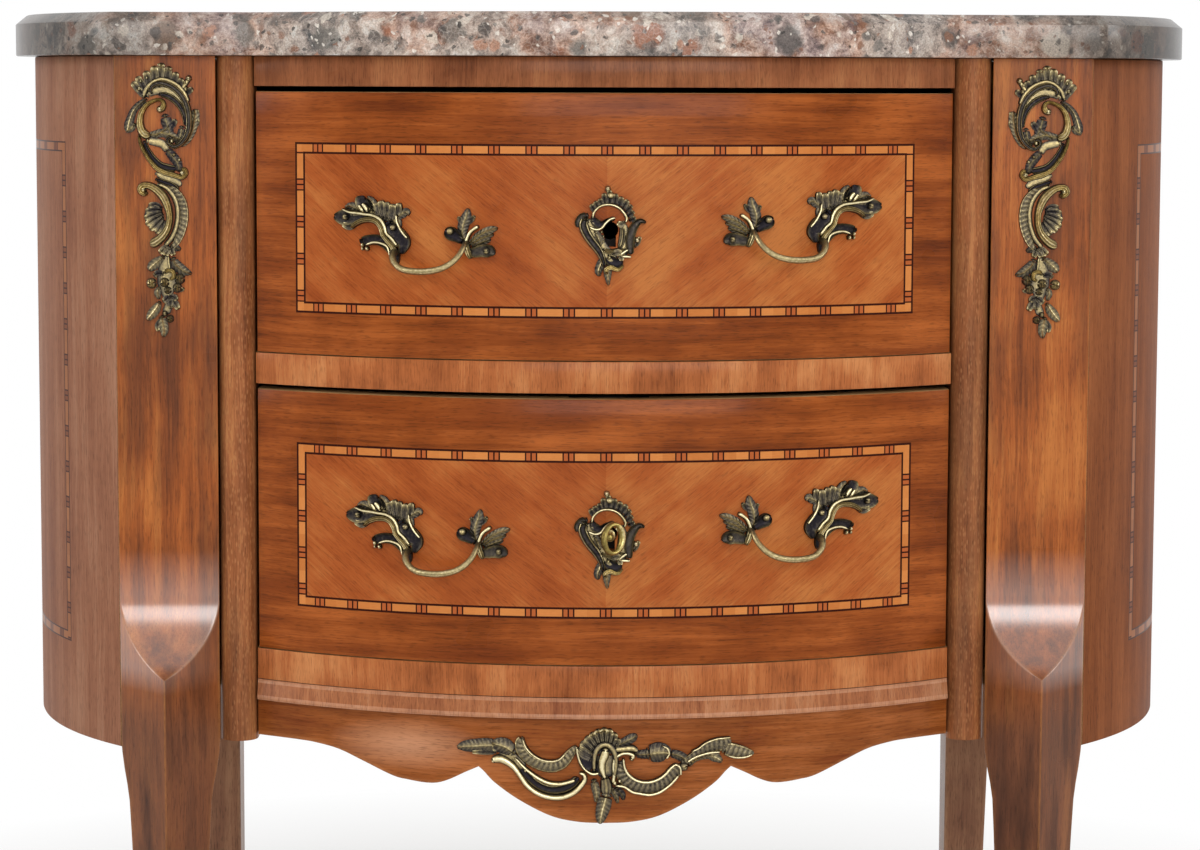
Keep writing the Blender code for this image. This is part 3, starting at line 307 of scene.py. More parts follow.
# Breccia marble, sawn and polished: rounded stones in a pale, grainy ground with orange and grey clouds,
# under a clear gloss. Sizes in mm. The slab is made darker and more olive towards its ends.
marbleLook = {"warp": 12, "shake": 3.8, "ground": 14, "cloud": 70, "crackle": 3.4, "vein": "ded2c6",
              "end": "4c4131", "grounds": [(0.36, "423b37"), (0.43, "7d6d62"), (0.49, "b8a497"),
                                           (0.55, "dccabb"), (0.62, "f5ede3")],
              "clouds": [(0.36, "6d7072"), (0.44, "8f867e"), (0.5, "b3998a"), (0.54, "c4825c"),
                         (0.58, "96604a"), (0.64, "a08588")],
              "stones": [  # size, least and most radius, chance, strength, colours
                  (26, 0.22, 0.5, 0.6, 0.8, [(0.0, "55524f"), (0.3, "6c6862"), (0.45, "7b6656"),
                                             (0.6, "8f8780"), (0.74, "d8cbbb"), (0.86, "9e6143")]),
                  (8.5, 0.2, 0.56, 0.5, 0.75, [(0.0, "4e4845"), (0.25, "8a5f48"), (0.45, "dfd2c2"),
                                               (0.7, "77716b"), (0.85, "b98468")]),
                  (3.6, 0.15, 0.55, 0.4, 0.8, [(0.0, "3b3734"), (0.3, "efe6da"), (0.62, "8c6450"),
                                               (0.8, "5f5b57")])]}


def marbleMaterial(name, look):
    material, tree, shader = newMaterial(name, {"Roughness": 0.22, "IOR": 1.46, "Specular IOR Level": 0.3})
    place = bent = addNode(tree, "TexCoord").outputs["Object"]
    for size, reach in ((18, look["warp"]), (3, look["shake"])):
        noise = addNode(tree, "TexNoise", {"Vector": bent, "Scale": 1000 / size, "Detail": 3}).outputs[1]
        centred = addNode(tree, "VectorMath", {0: noise, 1: (0.5, 0.5, 0.5)}, operation="SUBTRACT")
        push = addNode(tree, "VectorMath", {0: centred, "Scale": reach * mm}, operation="SCALE")
        bent = addNode(tree, "VectorMath", {0: bent, 1: push}, operation="ADD")
    ground = addNode(tree, "TexNoise", {"Vector": bent, "Scale": 1000 / look["ground"], "Detail": 8,
                                        "Roughness": 0.72})
    color = addNode(tree, "ValToRGB", {0: ground}, stops=look["grounds"])
    drift = addNode(tree, "TexNoise", {"Vector": bent, "Scale": 1000 / look["cloud"], "Detail": 4,
                                       "Roughness": 0.6})
    tint = addNode(tree, "ValToRGB", {0: drift}, stops=look["clouds"])
    color = addNode(tree, "Mix", {0: 0.38, 6: color, 7: tint}, data_type="RGBA")
    for size, least, most, chance, share, stops in look["stones"]:
        # cells of a Voronoi pattern, each with its own radius, colour and chance of being there
        cells = addNode(tree, "TexVoronoi", {"Vector": bent, "Scale": 1000 / size}).outputs
        pick = addNode(tree, "SeparateColor", {0: cells["Color"]}).outputs
        radius = addNode(tree, "MapRange", {0: pick[1], 3: least, 4: most})
        inside = addNode(tree, "Math", {0: radius, 1: cells["Distance"]}, operation="SUBTRACT")
        inside = addNode(tree, "Math", {0: inside, 1: 9.0}, operation="MULTIPLY", use_clamp=True)
        there = addNode(tree, "Math", {0: pick[2], 1: chance}, operation="LESS_THAN")
        mask = addNode(tree, "Math", {0: inside, 1: there}, operation="MULTIPLY")
        mask = addNode(tree, "Math", {0: mask, 1: share}, operation="MULTIPLY")
        paint = addNode(tree, "ValToRGB", {0: pick[0]}, stops=stops)
        paint.color_ramp.interpolation = "CONSTANT"
        color = addNode(tree, "Mix", {0: mask, 6: color, 7: paint}, data_type="RGBA")
    web = addNode(tree, "TexVoronoi", {"Vector": bent, "Scale": 1000 / look["crackle"]},
                  feature="DISTANCE_TO_EDGE")
    line = addNode(tree, "ValToRGB", {0: web}, stops=[(0.02, "ffffff"), (0.12, "000000")])
    where = addNode(tree, "TexNoise", {"Vector": place, "Scale": 32, "Detail": 2})
    where = addNode(tree, "ValToRGB", {0: where}, stops=[(0.44, "000000"), (0.6, "8a8a8a")])
    crack = addNode(tree, "Math", {0: line, 1: where}, operation="MULTIPLY")
    color = addNode(tree, "Mix", {0: crack, 6: color, 7: look["vein"]}, data_type="RGBA")
    grain = addNode(tree, "TexNoise", {"Vector": place, "Scale": 900, "Detail": 3, "Roughness": 0.75})
    grain = addNode(tree, "ValToRGB", {0: grain}, stops=[(0.3, "a0a0a0"), (0.68, "ffffff")])
    color = addNode(tree, "Mix", {0: 0.8, 6: color, 7: grain}, data_type="RGBA", blend_type="MULTIPLY")
    away = addNode(tree, "Math", {0: addNode(tree, "SeparateXYZ", {0: bent}), 1: 0.012}, operation="ADD")
    away = addNode(tree, "Math", {0: away}, operation="ABSOLUTE")
    end = addNode(tree, "MapRange", {0: away, 1: 0.2, 2: 0.4, 3: 0.0, 4: 1.0},
                  interpolation_type="SMOOTHSTEP")
    color = addNode(tree, "Mix", {0: end, 6: color, 7: look["end"]}, data_type="RGBA", blend_type="MULTIPLY")
    feed(tree, shader, {"Base Color": color})
    return material


marble = marbleMaterial("brecciaMarble", marbleLook)


# Cast brass, gilt and then darkened: bright where hands rub it, nearly black in the hollows.
# The piece's own relief map says which is which: 1 on the ridges, 0 in the hollows.
def bronzeMaterial(name, look):
    material, tree, shader = newMaterial(name, {"Metallic": 1.0})
    place = addNode(tree, "TexCoord").outputs["Object"]
    relief = addNode(tree, "Attribute", attribute_name="relief").outputs["Fac"]
    grime = addNode(tree, "TexNoise", {"Vector": place, "Scale": 600, "Detail": 4, "Roughness": 0.65})
    level = addNode(tree, "Math", {0: grime, 1: 0.6, 2: relief}, operation="MULTIPLY_ADD")
    level = addNode(tree, "Math", {0: level, 1: 0.12}, operation="SUBTRACT")
    color = addNode(tree, "ValToRGB", {0: level}, stops=look["stops"])
    rough = addNode(tree, "MapRange", {0: level, 1: 0.3, 2: 1.1, 3: look["roughness"] + 0.2,
                                       4: look["roughness"]})
    bump = addNode(tree, "Bump", {"Height": grime, "Strength": 0.5, "Distance": 0.0004})
    feed(tree, shader, {"Base Color": color, "Roughness": rough, "Normal": bump})
    return material


giltBronze = bronzeMaterial("agedGiltBrass", {"roughness": 0.3, "stops": [
    (0.2, "262327"), (0.38, "4a443c"), (0.6, "756a52"), (0.82, "a59468"), (1.0, "e0d3a9")]})
keyBrass = bronzeMaterial("keyBrass", {"roughness": 0.28, "stops": [
    (0.1, "352c18"), (0.4, "66572f"), (0.75, "9f8e52"), (1.0, "e2d6a4")]})
lockIron = bronzeMaterial("forgedLockIron", {"roughness": 0.45, "stops": [
    (0.2, "2b2724"), (0.5, "4c4742"), (0.8, "6c665f"), (1.0, "8a837a")]})


def newObject(name, data):
    made = bpy.data.objects.new(name, data)
    bpy.context.scene.collection.objects.link(made)
    return made


def skin(rings, along, around, wear=0.0, caps=True):
    # a closed profile carried along a path: rings[i, j] is point j of the profile at station i. "along" and
    # "around" are its own map in metres, which has one more column for the seam, and "wear" is its wear or
    # relief
    count, size = rings.shape[:2]
    i, j = np.meshgrid(np.arange(count - 1), np.arange(size), indexing="ij")
    after = (j + 1) % size
    quads = np.stack([i * size + j, i * size + after, (i + 1) * size + after, (i + 1) * size + j], -1)
    chart = np.stack([np.broadcast_to(part, (count, size + 1)) for part in (along, around)], -1)
    uv = np.stack([chart[a, b] for a, b in ((i, j), (i, j + 1), (i + 1, j + 1), (i + 1, j))], 2)
    first = np.arange(size)
    return {"points": rings.reshape(-1, 3), "quads": quads.reshape(-1, 4), "uv": uv,
            "slots": np.zeros((count - 1, size), int),
            "wear": np.broadcast_to(wear, (count, size)).reshape(-1),
            "caps": [first[::-1], first + (count - 1) * size] if caps else [], "capSlot": 0}


def buildMesh(skins, materials, mapName="wear", smoothAngle=32):
    points, faces, uvs, slots, values, base = [], [], [], [], [], 0
    for part in skins:
        points.append(part["points"])
        values.append(part["wear"])
        faces += (part["quads"] + base).tolist()
        uvs.append(part["uv"].reshape(-1, 2))
        slots.append(part["slots"].reshape(-1))
        for cap in part["caps"]:
            faces.append((cap + base).tolist())
            spots = part["points"][cap]
            uvs.append(np.stack([spots[:, 0] + spots[:, 1], spots[:, 2]], -1))
            slots.append([part["capSlot"]])
        base += len(part["points"])
    mesh = bpy.data.meshes.new("skin")
    mesh.from_pydata(np.concatenate(points).tolist(), [], faces)
    layer = mesh.uv_layers.new(name="UVMap")
    layer.data.foreach_set("uv", np.concatenate(uvs).astype(np.float32).ravel())
    mesh.polygons.foreach_set("material_index", np.concatenate(slots).astype(np.int32))
    attribute = mesh.attributes.new(mapName, "FLOAT", "POINT")
    attribute.data.foreach_set("value", np.concatenate(values).astype(np.float32))
    for material in materials:
        mesh.materials.append(material)
    shape = bmesh.new()
    shape.from_mesh(mesh)
    bmesh.ops.remove_doubles(shape, verts=shape.verts, dist=1e-6)
    bmesh.ops.recalc_face_normals(shape, faces=shape.faces)
    shape.to_mesh(mesh)
    shape.free()
    mesh.shade_smooth()
    mesh.set_sharp_from_angle(angle=math.radians(smoothAngle))
    return mesh


def addPiece(node, mesh, body="case", name=None):
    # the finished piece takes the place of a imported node, and its name follows from it: top_rail, topRail
    words = node.split("_")
    piece = newObject(name or words[0] + "".join(word.title() for word in words[1:]), mesh)
    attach(piece, body)
    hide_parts(node)


def cutWith(mesh, cutters, materials):
    # takes closed cutter meshes out of a mesh and gives the result back
    holder = newObject("work", mesh)
    tools = [newObject("tool", cutter) for cutter in cutters]
    for tool in tools:
        modifier = holder.modifiers.new("cut", "BOOLEAN")
        modifier.operation, modifier.solver, modifier.object = "DIFFERENCE", "EXACT", tool
    bpy.context.view_layer.update()
    result = bpy.data.meshes.new_from_object(holder.evaluated_get(bpy.context.evaluated_depsgraph_get()))
    for item in [holder] + tools:
        bpy.data.objects.remove(item)
    slots = np.zeros(len(result.polygons), np.int32)
    result.polygons.foreach_get("material_index", slots)
    result.materials.clear()
    for material in materials:
        result.materials.append(material)
    result.polygons.foreach_set("material_index", slots)
    result.set_sharp_from_angle(angle=math.radians(32))
    return result


def blockMesh(low, high):
    # a plain block between two corners, used only as a cutter
    shape = bmesh.new()
    bmesh.ops.create_cube(shape, size=1.0)
    low, high = np.array(low), np.array(high)
    for vertex in shape.verts:
        vertex.co = (low + high) / 2 + np.array(vertex.co) * (high - low)
    mesh = bpy.data.meshes.new("block")
    shape.to_mesh(mesh)
    shape.free()
    return mesh


def roundRing(corners, radius, steps=3, guard=0.0):
    # a polygon with each corner replaced by a curve from radius before it to radius after it (a quadratic
    # blend), and its wear. guard adds a point that far from each corner on both sides, so that wear fades
    # out there
    corners = np.asarray(corners, float)
    before = np.roll(corners, 1, 0) - corners
    after = np.roll(corners, -1, 0) - corners
    lengthBefore = np.linalg.norm(before, axis=1, keepdims=True)
    lengthAfter = np.linalg.norm(after, axis=1, keepdims=True)
    limit = np.minimum(lengthBefore, lengthAfter) * 0.45
    size = np.minimum(radius, limit)
    start, end = corners + before / lengthBefore * size, corners + after / lengthAfter * size
    share = np.linspace(0, 1, steps + 1)[None, :, None]
    curve = ((1 - share) ** 2 * start[:, None] + 2 * share * (1 - share) * corners[:, None]
             + share ** 2 * end[:, None])
    wear = np.ones(curve.shape[:2])
    if guard:
        far = np.minimum(guard, limit * 1.05)
        curve = np.concatenate([(corners + before / lengthBefore * far)[:, None], curve,
                                (corners + after / lengthAfter * far)[:, None]], 1)
        wear = np.pad(wear, ((0, 0), (1, 1)))
    return curve.reshape(-1, 2), wear.reshape(-1)


def aroundLength(ring):
    step = np.linalg.norm(np.roll(ring, -1, 0) - ring, axis=1)
    return np.concatenate([[0], np.cumsum(step)])


def flatRing(points, z):
    return np.concatenate([points, np.full((len(points), 1), z)], 1)


def onBow(share, depth, half):
    # place on the bowed front: share -1 to 1 runs across a piece "half" wide each way, depth goes in from
    # the face. x = (R - depth) sin a and y = centre - (R - depth) cos a, with a such that the ends keep a
    # constant x
    radius = bow["radius"] - depth
    angle = share * np.arcsin(half / radius)
    return radius * np.sin(angle), bow["centreY"] - radius * np.cos(angle)


def bowArc(half):
    return bow["radius"] * math.asin(half / bow["radius"])


def profileSkin(ring, x, y, along, wear=0.0):
    # the profile ring (depth in, height) stood at the places x and y, with a map that runs along the piece
    # and up it
    around = ring[:, 1] + ring[:, 0]
    return skin(np.stack([x, y, np.broadcast_to(ring[:, 1], x.shape)], -1), along,
                np.append(around, around[0]), wear)


# Rails: a crossbanded face over oak, carried along the bow. The face ends where the wood behind it starts.
railLook = {"radius": 0.7, "stations": 121, "half": 220.7, "depth": 24, "face": 1.5, "mouldingFace": 6}
lockPlace = {"x": 2 * mm, "keyholeRadius": 5 * mm, "slotWidth": 7 * mm, "slotDrop": 10.5 * mm,
             "keyholeDown": 83.5 * mm, "recessHalf": 25 * mm, "recessDown": 105.3 * mm,
             "recessDepth": 10 * mm, "recessBack": 44 * mm, "boltY": 15.15 * mm, "boltHalf": 12 * mm,
             "boltRoom": 3.5 * mm, "boltUp": 5.7 * mm, "past": 4 * mm}
railHalf, railDepth = railLook["half"] * mm, railLook["depth"] * mm


def railSkin(ring, limit, wear=0.0):
    # the faces that lie deeper than the limit, and the ends, get the second material
    share = np.linspace(-1, 1, railLook["stations"])[:, None]
    part = profileSkin(ring, *onBow(share, ring[:, 0], railHalf), share * bowArc(railHalf), wear)
    part["slots"][:, (ring[:, 0] + np.roll(ring[:, 0], -1)) / 2 > limit] = 1
    part["capSlot"] = 1
    return part


# the top rail takes the veneer painted darker for the shade under the marble
for name, veneer, hasMortise in (("top_rail", "crossbandTop", True), ("middle_rail", "crossbandRail", True),
                                 ("bottom_rail", "crossbandRail", False)):
    low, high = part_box(name)
    ring = roundRing([(0, low.z), (0, high.z), (railDepth, high.z), (railDepth, low.z)],
                     railLook["radius"] * mm, 2)[0]
    mats = [woods[veneer], woods["carcassOak"]]
    mesh = buildMesh([railSkin(ring, railLook["face"] * mm)], mats)
    if hasMortise:  # room for the bolt
        x, y = lockPlace["x"], bow["frontY"] + lockPlace["boltY"]
        half, room = lockPlace["boltHalf"], lockPlace["boltRoom"]
        hole = blockMesh((x - half, y - room, low.z - lockPlace["past"]),
                         (x + half, y + room, low.z + lockPlace["boltUp"]))
        mesh = cutWith(mesh, [hole], mats)
    addPiece(name, mesh)

low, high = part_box("apron_moulding")
# the wear map on the moulding's front edges carries rubbed wear and a painted highlight line
ring, worn = roundRing([(-5 * mm, low.z), (-5 * mm, low.z + 2.2 * mm), (-0.6 * mm, high.z - 1.6 * mm),
                        (0, high.z), (railDepth, high.z), (railDepth, low.z)], 1.0 * mm, 3, 2.2 * mm)
part = railSkin(ring, railLook["mouldingFace"] * mm, np.where(ring[:, 0] < 1 * mm, worn, 0))
addPiece("apron_moulding", buildMesh([part], [woods["crossbandMoulding"], woods["carcassOak"]]))
print("rails and moulding done")


def walkCurve(points):
    # a fine walk along a curve through the points, each stretch a blend of two parabolas (Catmull-Rom),
    # with the distance walked in the plane of its first two columns
    points = np.asarray(points, float)
    points = np.concatenate([2 * points[:1] - points[1:2], points, 2 * points[-1:] - points[-2:-1]])
    share = np.linspace(0, 1, 13)[:-1][None, :, None]
    a, b, c, d = (points[k:len(points) - 3 + k, None] for k in range(4))
    dense = 0.5 * (2 * b + (c - a) * share + (2 * a - 5 * b + 4 * c - d) * share ** 2
                   + (3 * b - a - 3 * c + d) * share ** 3)
    dense = np.concatenate([dense.reshape(-1, points.shape[1]), points[-2:-1]])
    walk = np.concatenate([[0], np.cumsum(np.linalg.norm(np.diff(dense[:, :2], axis=0), axis=1))])
    return dense, walk


def smoothCurve(points, count):
    dense, walk = walkCurve(points)
    place = np.linspace(0, walk[-1], count)
    return np.stack([np.interp(place, walk, dense[:, k]) for k in range(dense.shape[1])], -1)


# Lower edge of the apron, half of it from the end to the middle: share across, share of the full drop
apronLook = {"drop": 66.5, "thickness": 20, "edge": 1.1, "lobe": [
    (1.00, 0.36), (0.93, 0.358), (0.86, 0.36), (0.81, 0.37), (0.74, 0.41), (0.665, 0.505), (0.58, 0.62),
    (0.535, 0.648), (0.49, 0.665), (0.455, 0.66), (0.42, 0.62), (0.38, 0.55), (0.34, 0.485)],
    "middle": [(0.34, 0.485), (0.325, 0.53), (0.295, 0.635), (0.23, 0.79), (0.145, 0.935), (0.07, 0.99),
               (0.00, 1.00)]}
low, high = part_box("apron")
edge = np.concatenate([smoothCurve(apronLook["lobe"], 60), smoothCurve(apronLook["middle"], 40)[1:]])
edge = np.concatenate([edge * (-1, 1), edge[-2::-1]])
bottom = high.z + 0.3 * mm - apronLook["drop"] * mm * edge[:, 1:]
depth, corner = apronLook["thickness"] * mm, apronLook["edge"] * mm
# the profile: depth, share of the way up, height added, wear
profile = np.array([(corner * 0.3, 0, corner * 0.3, 1), (0, 0, corner, 0.8), (0, 0, 2.6 * mm, 0),
                    (0, 0.5, 0, 0), (0, 1, -0.6 * mm, 0), (0.6 * mm, 1, 0, 0), (depth - 0.6 * mm, 1, 0, 0),
                    (depth, 1, -0.6 * mm, 0), (depth, 0, corner, 0), (depth - corner, 0, 0, 0),
                    (corner, 0, 0, 0.6)])
inward, share, lift, worn = profile.T
x, y = onBow(edge[:, :1], inward, railHalf)
z = bottom * (1 - share) + high.z * share + lift
part = skin(np.stack([x, y, z], -1), edge[:, :1] * bowArc(railHalf),
            np.concatenate([z + inward, z[:, :1] + inward[0]], 1), worn)
part["slots"][:, 6:9] = 1
addPiece("apron", buildMesh([part], [woods["apronMahogany"], woods["carcassOak"]]))
print("apron done")


def keyholeCutter(z):
    angle = np.radians(np.linspace(-90 - 44.4, -90 - 315.6, 41))
    r, half = lockPlace["keyholeRadius"], lockPlace["slotWidth"] / 2
    points = np.stack([r * np.cos(angle), r * np.sin(angle)], -1)
    points = np.concatenate([[(-half, -lockPlace["slotDrop"])], points, [(half, -lockPlace["slotDrop"])]])
    rings = np.stack([np.stack([points[:, 0] + lockPlace["x"], np.full(len(points), y), points[:, 1] + z], -1)
                      for y in (bow["frontY"] - 6 * mm, bow["frontY"] + 19 * mm)])
    return buildMesh([skin(rings, 0, 0)], [])


def levels(low, high, count, marks):
    # even divisions between two ends with the marks added, and even ones that fall too near a mark left out
    even = np.linspace(low, high, count)
    near = np.abs(even[:, None] - marks).min(1)
    even = even[(near > (high - low) / count * 0.4) | (even == low) | (even == high)]
    return np.unique(np.concatenate([even, marks]))


def inlaidSheet(look, low, high, arc, half, columnCount, rowCount, back, place):
    # a veneered sheet, arc long each way, with a frame of banding let in, half wide each way. "back" closes
    # its profile behind the face, and place(column, depth) gives x and y
    top, bottom, band, line = (look[key] * mm for key in ("top", "bottom", "band", "line"))
    steps = np.array([0, line, band - line, band])
    columns = levels(-arc, arc, columnCount, np.concatenate([-half + steps, half - steps]))
    rows = levels(low + 1 * mm, high - 1 * mm, rowCount, np.concatenate([bottom + steps, top - steps]))
    ring = np.concatenate([[(0.3 * mm, low + 0.3 * mm)], np.stack([rows * 0, rows], -1),
                           [(0.3 * mm, high - 0.3 * mm), (1 * mm, high)], back, [(1 * mm, low)]])
    part = profileSkin(ring, *place(columns[:, None], ring[:, 0]), columns[:, None])
    up = (ring[:, 1] + np.roll(ring[:, 1], -1)) / 2
    beside = half - np.abs((columns[1:, None] + columns[:-1, None]) / 2)
    within = np.minimum(up - bottom, top - up)
    inset = np.minimum(beside, within)
    # 0 field, 1 stringing, 2 banding that runs across, 3 banding that runs up, 4 border, 5 behind the face
    kind = np.select([inset < 0, inset < line, inset < band - line, inset < band], [4, 1, 2, 1], 0)
    kind[(kind == 2) & (beside < within)] = 3
    kind[:, len(rows) + 1:] = 5
    part["uv"][kind == 3] = part["uv"][kind == 3][..., ::-1]
    part["slots"], part["capSlot"] = kind, 5
    return part


# Drawer fronts: a field, a frame of banding and a border. Heights are those of the frame's outer edge.
frontLook = {"upper": {"top": 699.3, "bottom": 592.6}, "lower": {"top": 510.7, "bottom": 406.4},
             "frameHalf": 202.0, "band": 7.2, "line": 1.35, "thickness": 20, "half": 219.5}


def drawerFront(level):
    node = level + "_drawer_front"
    low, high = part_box(node)
    width, depth, cut = frontLook["half"] * mm, frontLook["thickness"] * mm, 0.5 * mm
    arc = bowArc(width)
    back = [(depth - cut, high.z), (depth, high.z - cut), (depth, low.z + cut), (depth - cut, low.z)]
    part = inlaidSheet({**frontLook, **frontLook[level]}, low.z, high.z, arc, frontLook["frameHalf"] * mm,
                       121, 12, back, lambda column, inward: onBow(column / arc, inward, width))
    banding = bandings["mapleBanding"]
    mats = [woods["slantedFieldVeneer"], stringing, banding, banding, woods["borderMahogany"],
            woods["carcassOak"]]
    x, half, y = lockPlace["x"], lockPlace["recessHalf"], bow["frontY"]
    recess = blockMesh((x - half, y + lockPlace["recessDepth"], high.z - lockPlace["recessDown"]),
                       (x + half, y + lockPlace["recessBack"], high.z + lockPlace["past"]))
    keyhole = keyholeCutter(high.z - lockPlace["keyholeDown"])
    addPiece(node, cutWith(buildMesh([part], mats), [recess, keyhole], mats),
             level + "_drawer")


for level in bothLevels:
    drawerFront(level)
print("drawer fronts done")


def upright(node, plans, heights, wear, wood):
    # a post: plans[i] is its outline (x, y) at height heights[i]
    rings = np.stack([flatRing(plan, z) for plan, z in zip(plans, heights)])
    part = skin(rings, aroundLength(plans[-1]), heights[:, None], wear)
    addPiece(node, buildMesh([part], [woods[wood]], smoothAngle=28))


pilasterLook = {"radius": 11.2, "spread": 1.1}
for side, word in bothSides:
    low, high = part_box("pilaster_" + word)
    middle, radius = (low.x + high.x) / 2, pilasterLook["radius"] * mm
    turn = np.radians(np.linspace(180, 360, 25))
    plan = np.stack([middle + radius * np.cos(turn), low.y + radius + radius * np.sin(turn)], -1)
    plan = np.concatenate([plan, [(middle + radius, high.y), (middle - radius, high.y)]])
    outer = side * (plan[:, 0] - middle) > 0  # the side next to the leg closes the seam
    plan[outer, 0] += (plan[outer, 0] - middle) / radius * pilasterLook["spread"] * mm
    heights = np.array([low.z, low.z + 0.5 * mm, low.z + 1.5 * mm, *np.linspace(low.z + 12 * mm, high.z, 12)])
    away = plan - (middle, (low.y + high.y) / 2)
    draw = np.array([1.0, 0.35] + [0] * 13) * mm
    upright("pilaster_" + word, [plan - away * np.minimum(1, np.abs(away) / radius) * step for step in draw],
            heights, 0, "pilasterBeech")

# Front legs: square posts turned by 45 degrees, with a flat facet above the knee.
# "sections" holds share of the taper's height, share of the post's side, share set back.
legLook = {"arrisX": 276.35, "arrisY": 30.25, "diagonal": 63.5, "facetY": 62.0, "kneeTop": 413.0,
           "kneeRadius": 57.3, "kneeDrop": 52.5, "taperTop": 320.0, "edge": 0.8, "guard": 2.6, "sections": [
               (0.00, 0.66, -0.04), (0.05, 0.63, 0.00), (0.12, 0.60, 0.07), (0.25, 0.60, 0.14),
               (0.40, 0.64, 0.15), (0.60, 0.72, 0.11), (0.79, 0.79, 0.05), (0.885, 0.84, 0.02),
               (0.93, 0.93, 0.01), (0.98, 1.00, 0.00)]}
rearLook = {"taper": 9, "taperTop": 0.32, "edge": 1.2}


def legPlan(z, side, grow=0.0, rounding=None):
    # outline of a front leg at a height, or of its shoe, which is grown outwards and has its own rounding
    table = np.array(legLook["sections"])
    heights = table[:, 0] * legLook["taperTop"] * mm
    share, setback = np.interp(z, heights, table[:, 1]), np.interp(z, heights, table[:, 2])
    post = legLook["diagonal"] * mm / math.sqrt(2)
    reach = (post * share + 2 * grow) / math.sqrt(2)
    front = bow["frontY"] + legLook["arrisY"] * mm + post * setback - grow * math.sqrt(2)
    cut = front + 0.35 * mm
    radius = legLook["kneeRadius"] * mm
    if rounding is None and z > (legLook["kneeTop"] - legLook["kneeDrop"]) * mm:
        h = max(0.0, legLook["kneeTop"] * mm - z)
        cut = max(cut, bow["frontY"] + legLook["facetY"] * mm - radius
                  + math.sqrt(max(0, radius ** 2 - h ** 2)))
    cut = min(cut, front + reach - 0.5 * mm)
    wide = cut - front
    x = legLook["arrisX"] * mm
    corners = [(x - wide, cut), (x + wide, cut), (x + reach, front + reach), (x, front + 2 * reach),
               (x - reach, front + reach)]
    ring, worn = roundRing(corners, rounding or legLook["edge"] * mm, 3, legLook["guard"] * mm)
    ring[:, 0] *= side
    return ring, worn


for side, word in bothSides:
    low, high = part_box("front_leg_" + word)
    knee = legLook["kneeTop"] * mm - np.linspace(0, 1, 24) * (legLook["kneeDrop"] + 1) * mm
    heights = np.unique(np.concatenate([[low.z, low.z + 1 * mm], np.linspace(low.z + 8 * mm, 0.31, 30), knee,
                                        np.linspace(0.43, high.z, 12), np.linspace(0.31, 0.355, 8)]))
    plans, rows = zip(*(legPlan(z, side) for z in heights))
    fade = np.interp(heights, [0.0, 0.3, 0.36, 0.42, 0.75], [0.45, 0.8, 1.0, 0.5, 0.35])
    upright("front_leg_" + word, plans, heights, np.stack(rows) * fade[:, None], "postMahogany")
    low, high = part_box("rear_leg_" + word)
    inner, outer = (low.x, high.x) if side > 0 else (high.x, low.x)
    heights = np.array([low.z, low.z + 1 * mm, *np.linspace(0.02, rearLook["taperTop"], 8), 0.34, 0.5,
                        high.z])
    rings = []
    for z in heights:
        draw = rearLook["taper"] * mm * max(0.0, 1 - z / rearLook["taperTop"])
        corners = [(inner, low.y + draw), (outer - side * draw, low.y + draw), (outer - side * draw, high.y),
                   (inner, high.y)]
        rings.append(roundRing(corners, rearLook["edge"] * mm, 3, legLook["guard"] * mm))
    plans, rows = zip(*rings)
    upright("rear_leg_" + word, plans, heights, rows[-1] * 0.4, "rearMahogany")
print("posts done")

# Round ends of the case, with a frame of banding let in
endLook = {"centreX": 142.9, "centreY": 235.0, "radius": 239.2, "thickness": 16, "chord": 346, "gap": 0.3,
           "frontMargin": 60.0, "top": 698.0, "bottom": 372.7, "band": 6.6, "line": 0.9}
endRadius, endX = endLook["radius"] * mm, endLook["centreX"] * mm
endY = bow["frontY"] + endLook["centreY"] * mm
endArc = endRadius * (math.asin(endLook["chord"] / 1000 / 2 / endRadius) - endLook["gap"] * mm / endRadius)
for side, word in bothSides:
    low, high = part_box("side_panel_" + word)
    depth = endLook["thickness"] * mm
    part = inlaidSheet(endLook, low.z, high.z, endArc, endArc - endLook["frontMargin"] * mm, 61, 16,
                       [(depth, high.z), (depth, low.z)], lambda column, inward: (
                           side * (endX + (endRadius - inward) * np.cos(column / endRadius)),
                           endY + (endRadius - inward) * np.sin(column / endRadius)))
    banding = bandings["fadedBanding"]
    # the left end's veneer carries a painted sheen
    sheet = woods["sideMahoganyPaintedSheen" if side < 0 else "sideMahogany"]
    addPiece("side_panel_" + word, buildMesh([part], [sheet, stringing, banding, banding, sheet,
                                                      woods["carcassOak"]]))

# Hollow back of upright oak boards
backLook = {"hollow": 28, "thickness": 8}
low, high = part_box("back_panel")
hollow, depth, half = backLook["hollow"] * mm, backLook["thickness"] * mm, high.x
backRadius = (half ** 2 + hollow ** 2) / (2 * hollow)
backCentre = high.y - hollow + backRadius
ring = roundRing([(0, low.z), (0, high.z), (depth, high.z), (depth, low.z)], 0.6 * mm, 2)[0]
reach = backRadius + ring[:, 0]
angle = np.linspace(-1, 1, 61)[:, None] * np.arcsin(half / reach)
x, y = reach * np.sin(angle), backCentre - reach * np.cos(angle)
part = skin(np.stack([x, y, np.broadcast_to(ring[:, 1], x.shape)], -1), np.concatenate([x, x[:, :1]], 1),
            np.append(ring[:, 1], ring[0, 1]))
addPiece("back_panel", buildMesh([part], [woods["backOak"]]))
print("panels done")

# Marble top: an even rim, then a shallow slope up to the flat
marbleShape = {"overhang": 12.5, "backOverhang": 6.0, "corner": 12.0, "rimHeight": 21.0, "rimInset": 8.0,
               "edge": 0.9}
low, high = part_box("marble_top")


def arcPoints(centreX, centreY, radius, start, end, count):
    turn = np.linspace(start, end, count)
    return np.stack([centreX + radius * np.cos(turn), centreY + radius * np.sin(turn)], -1)


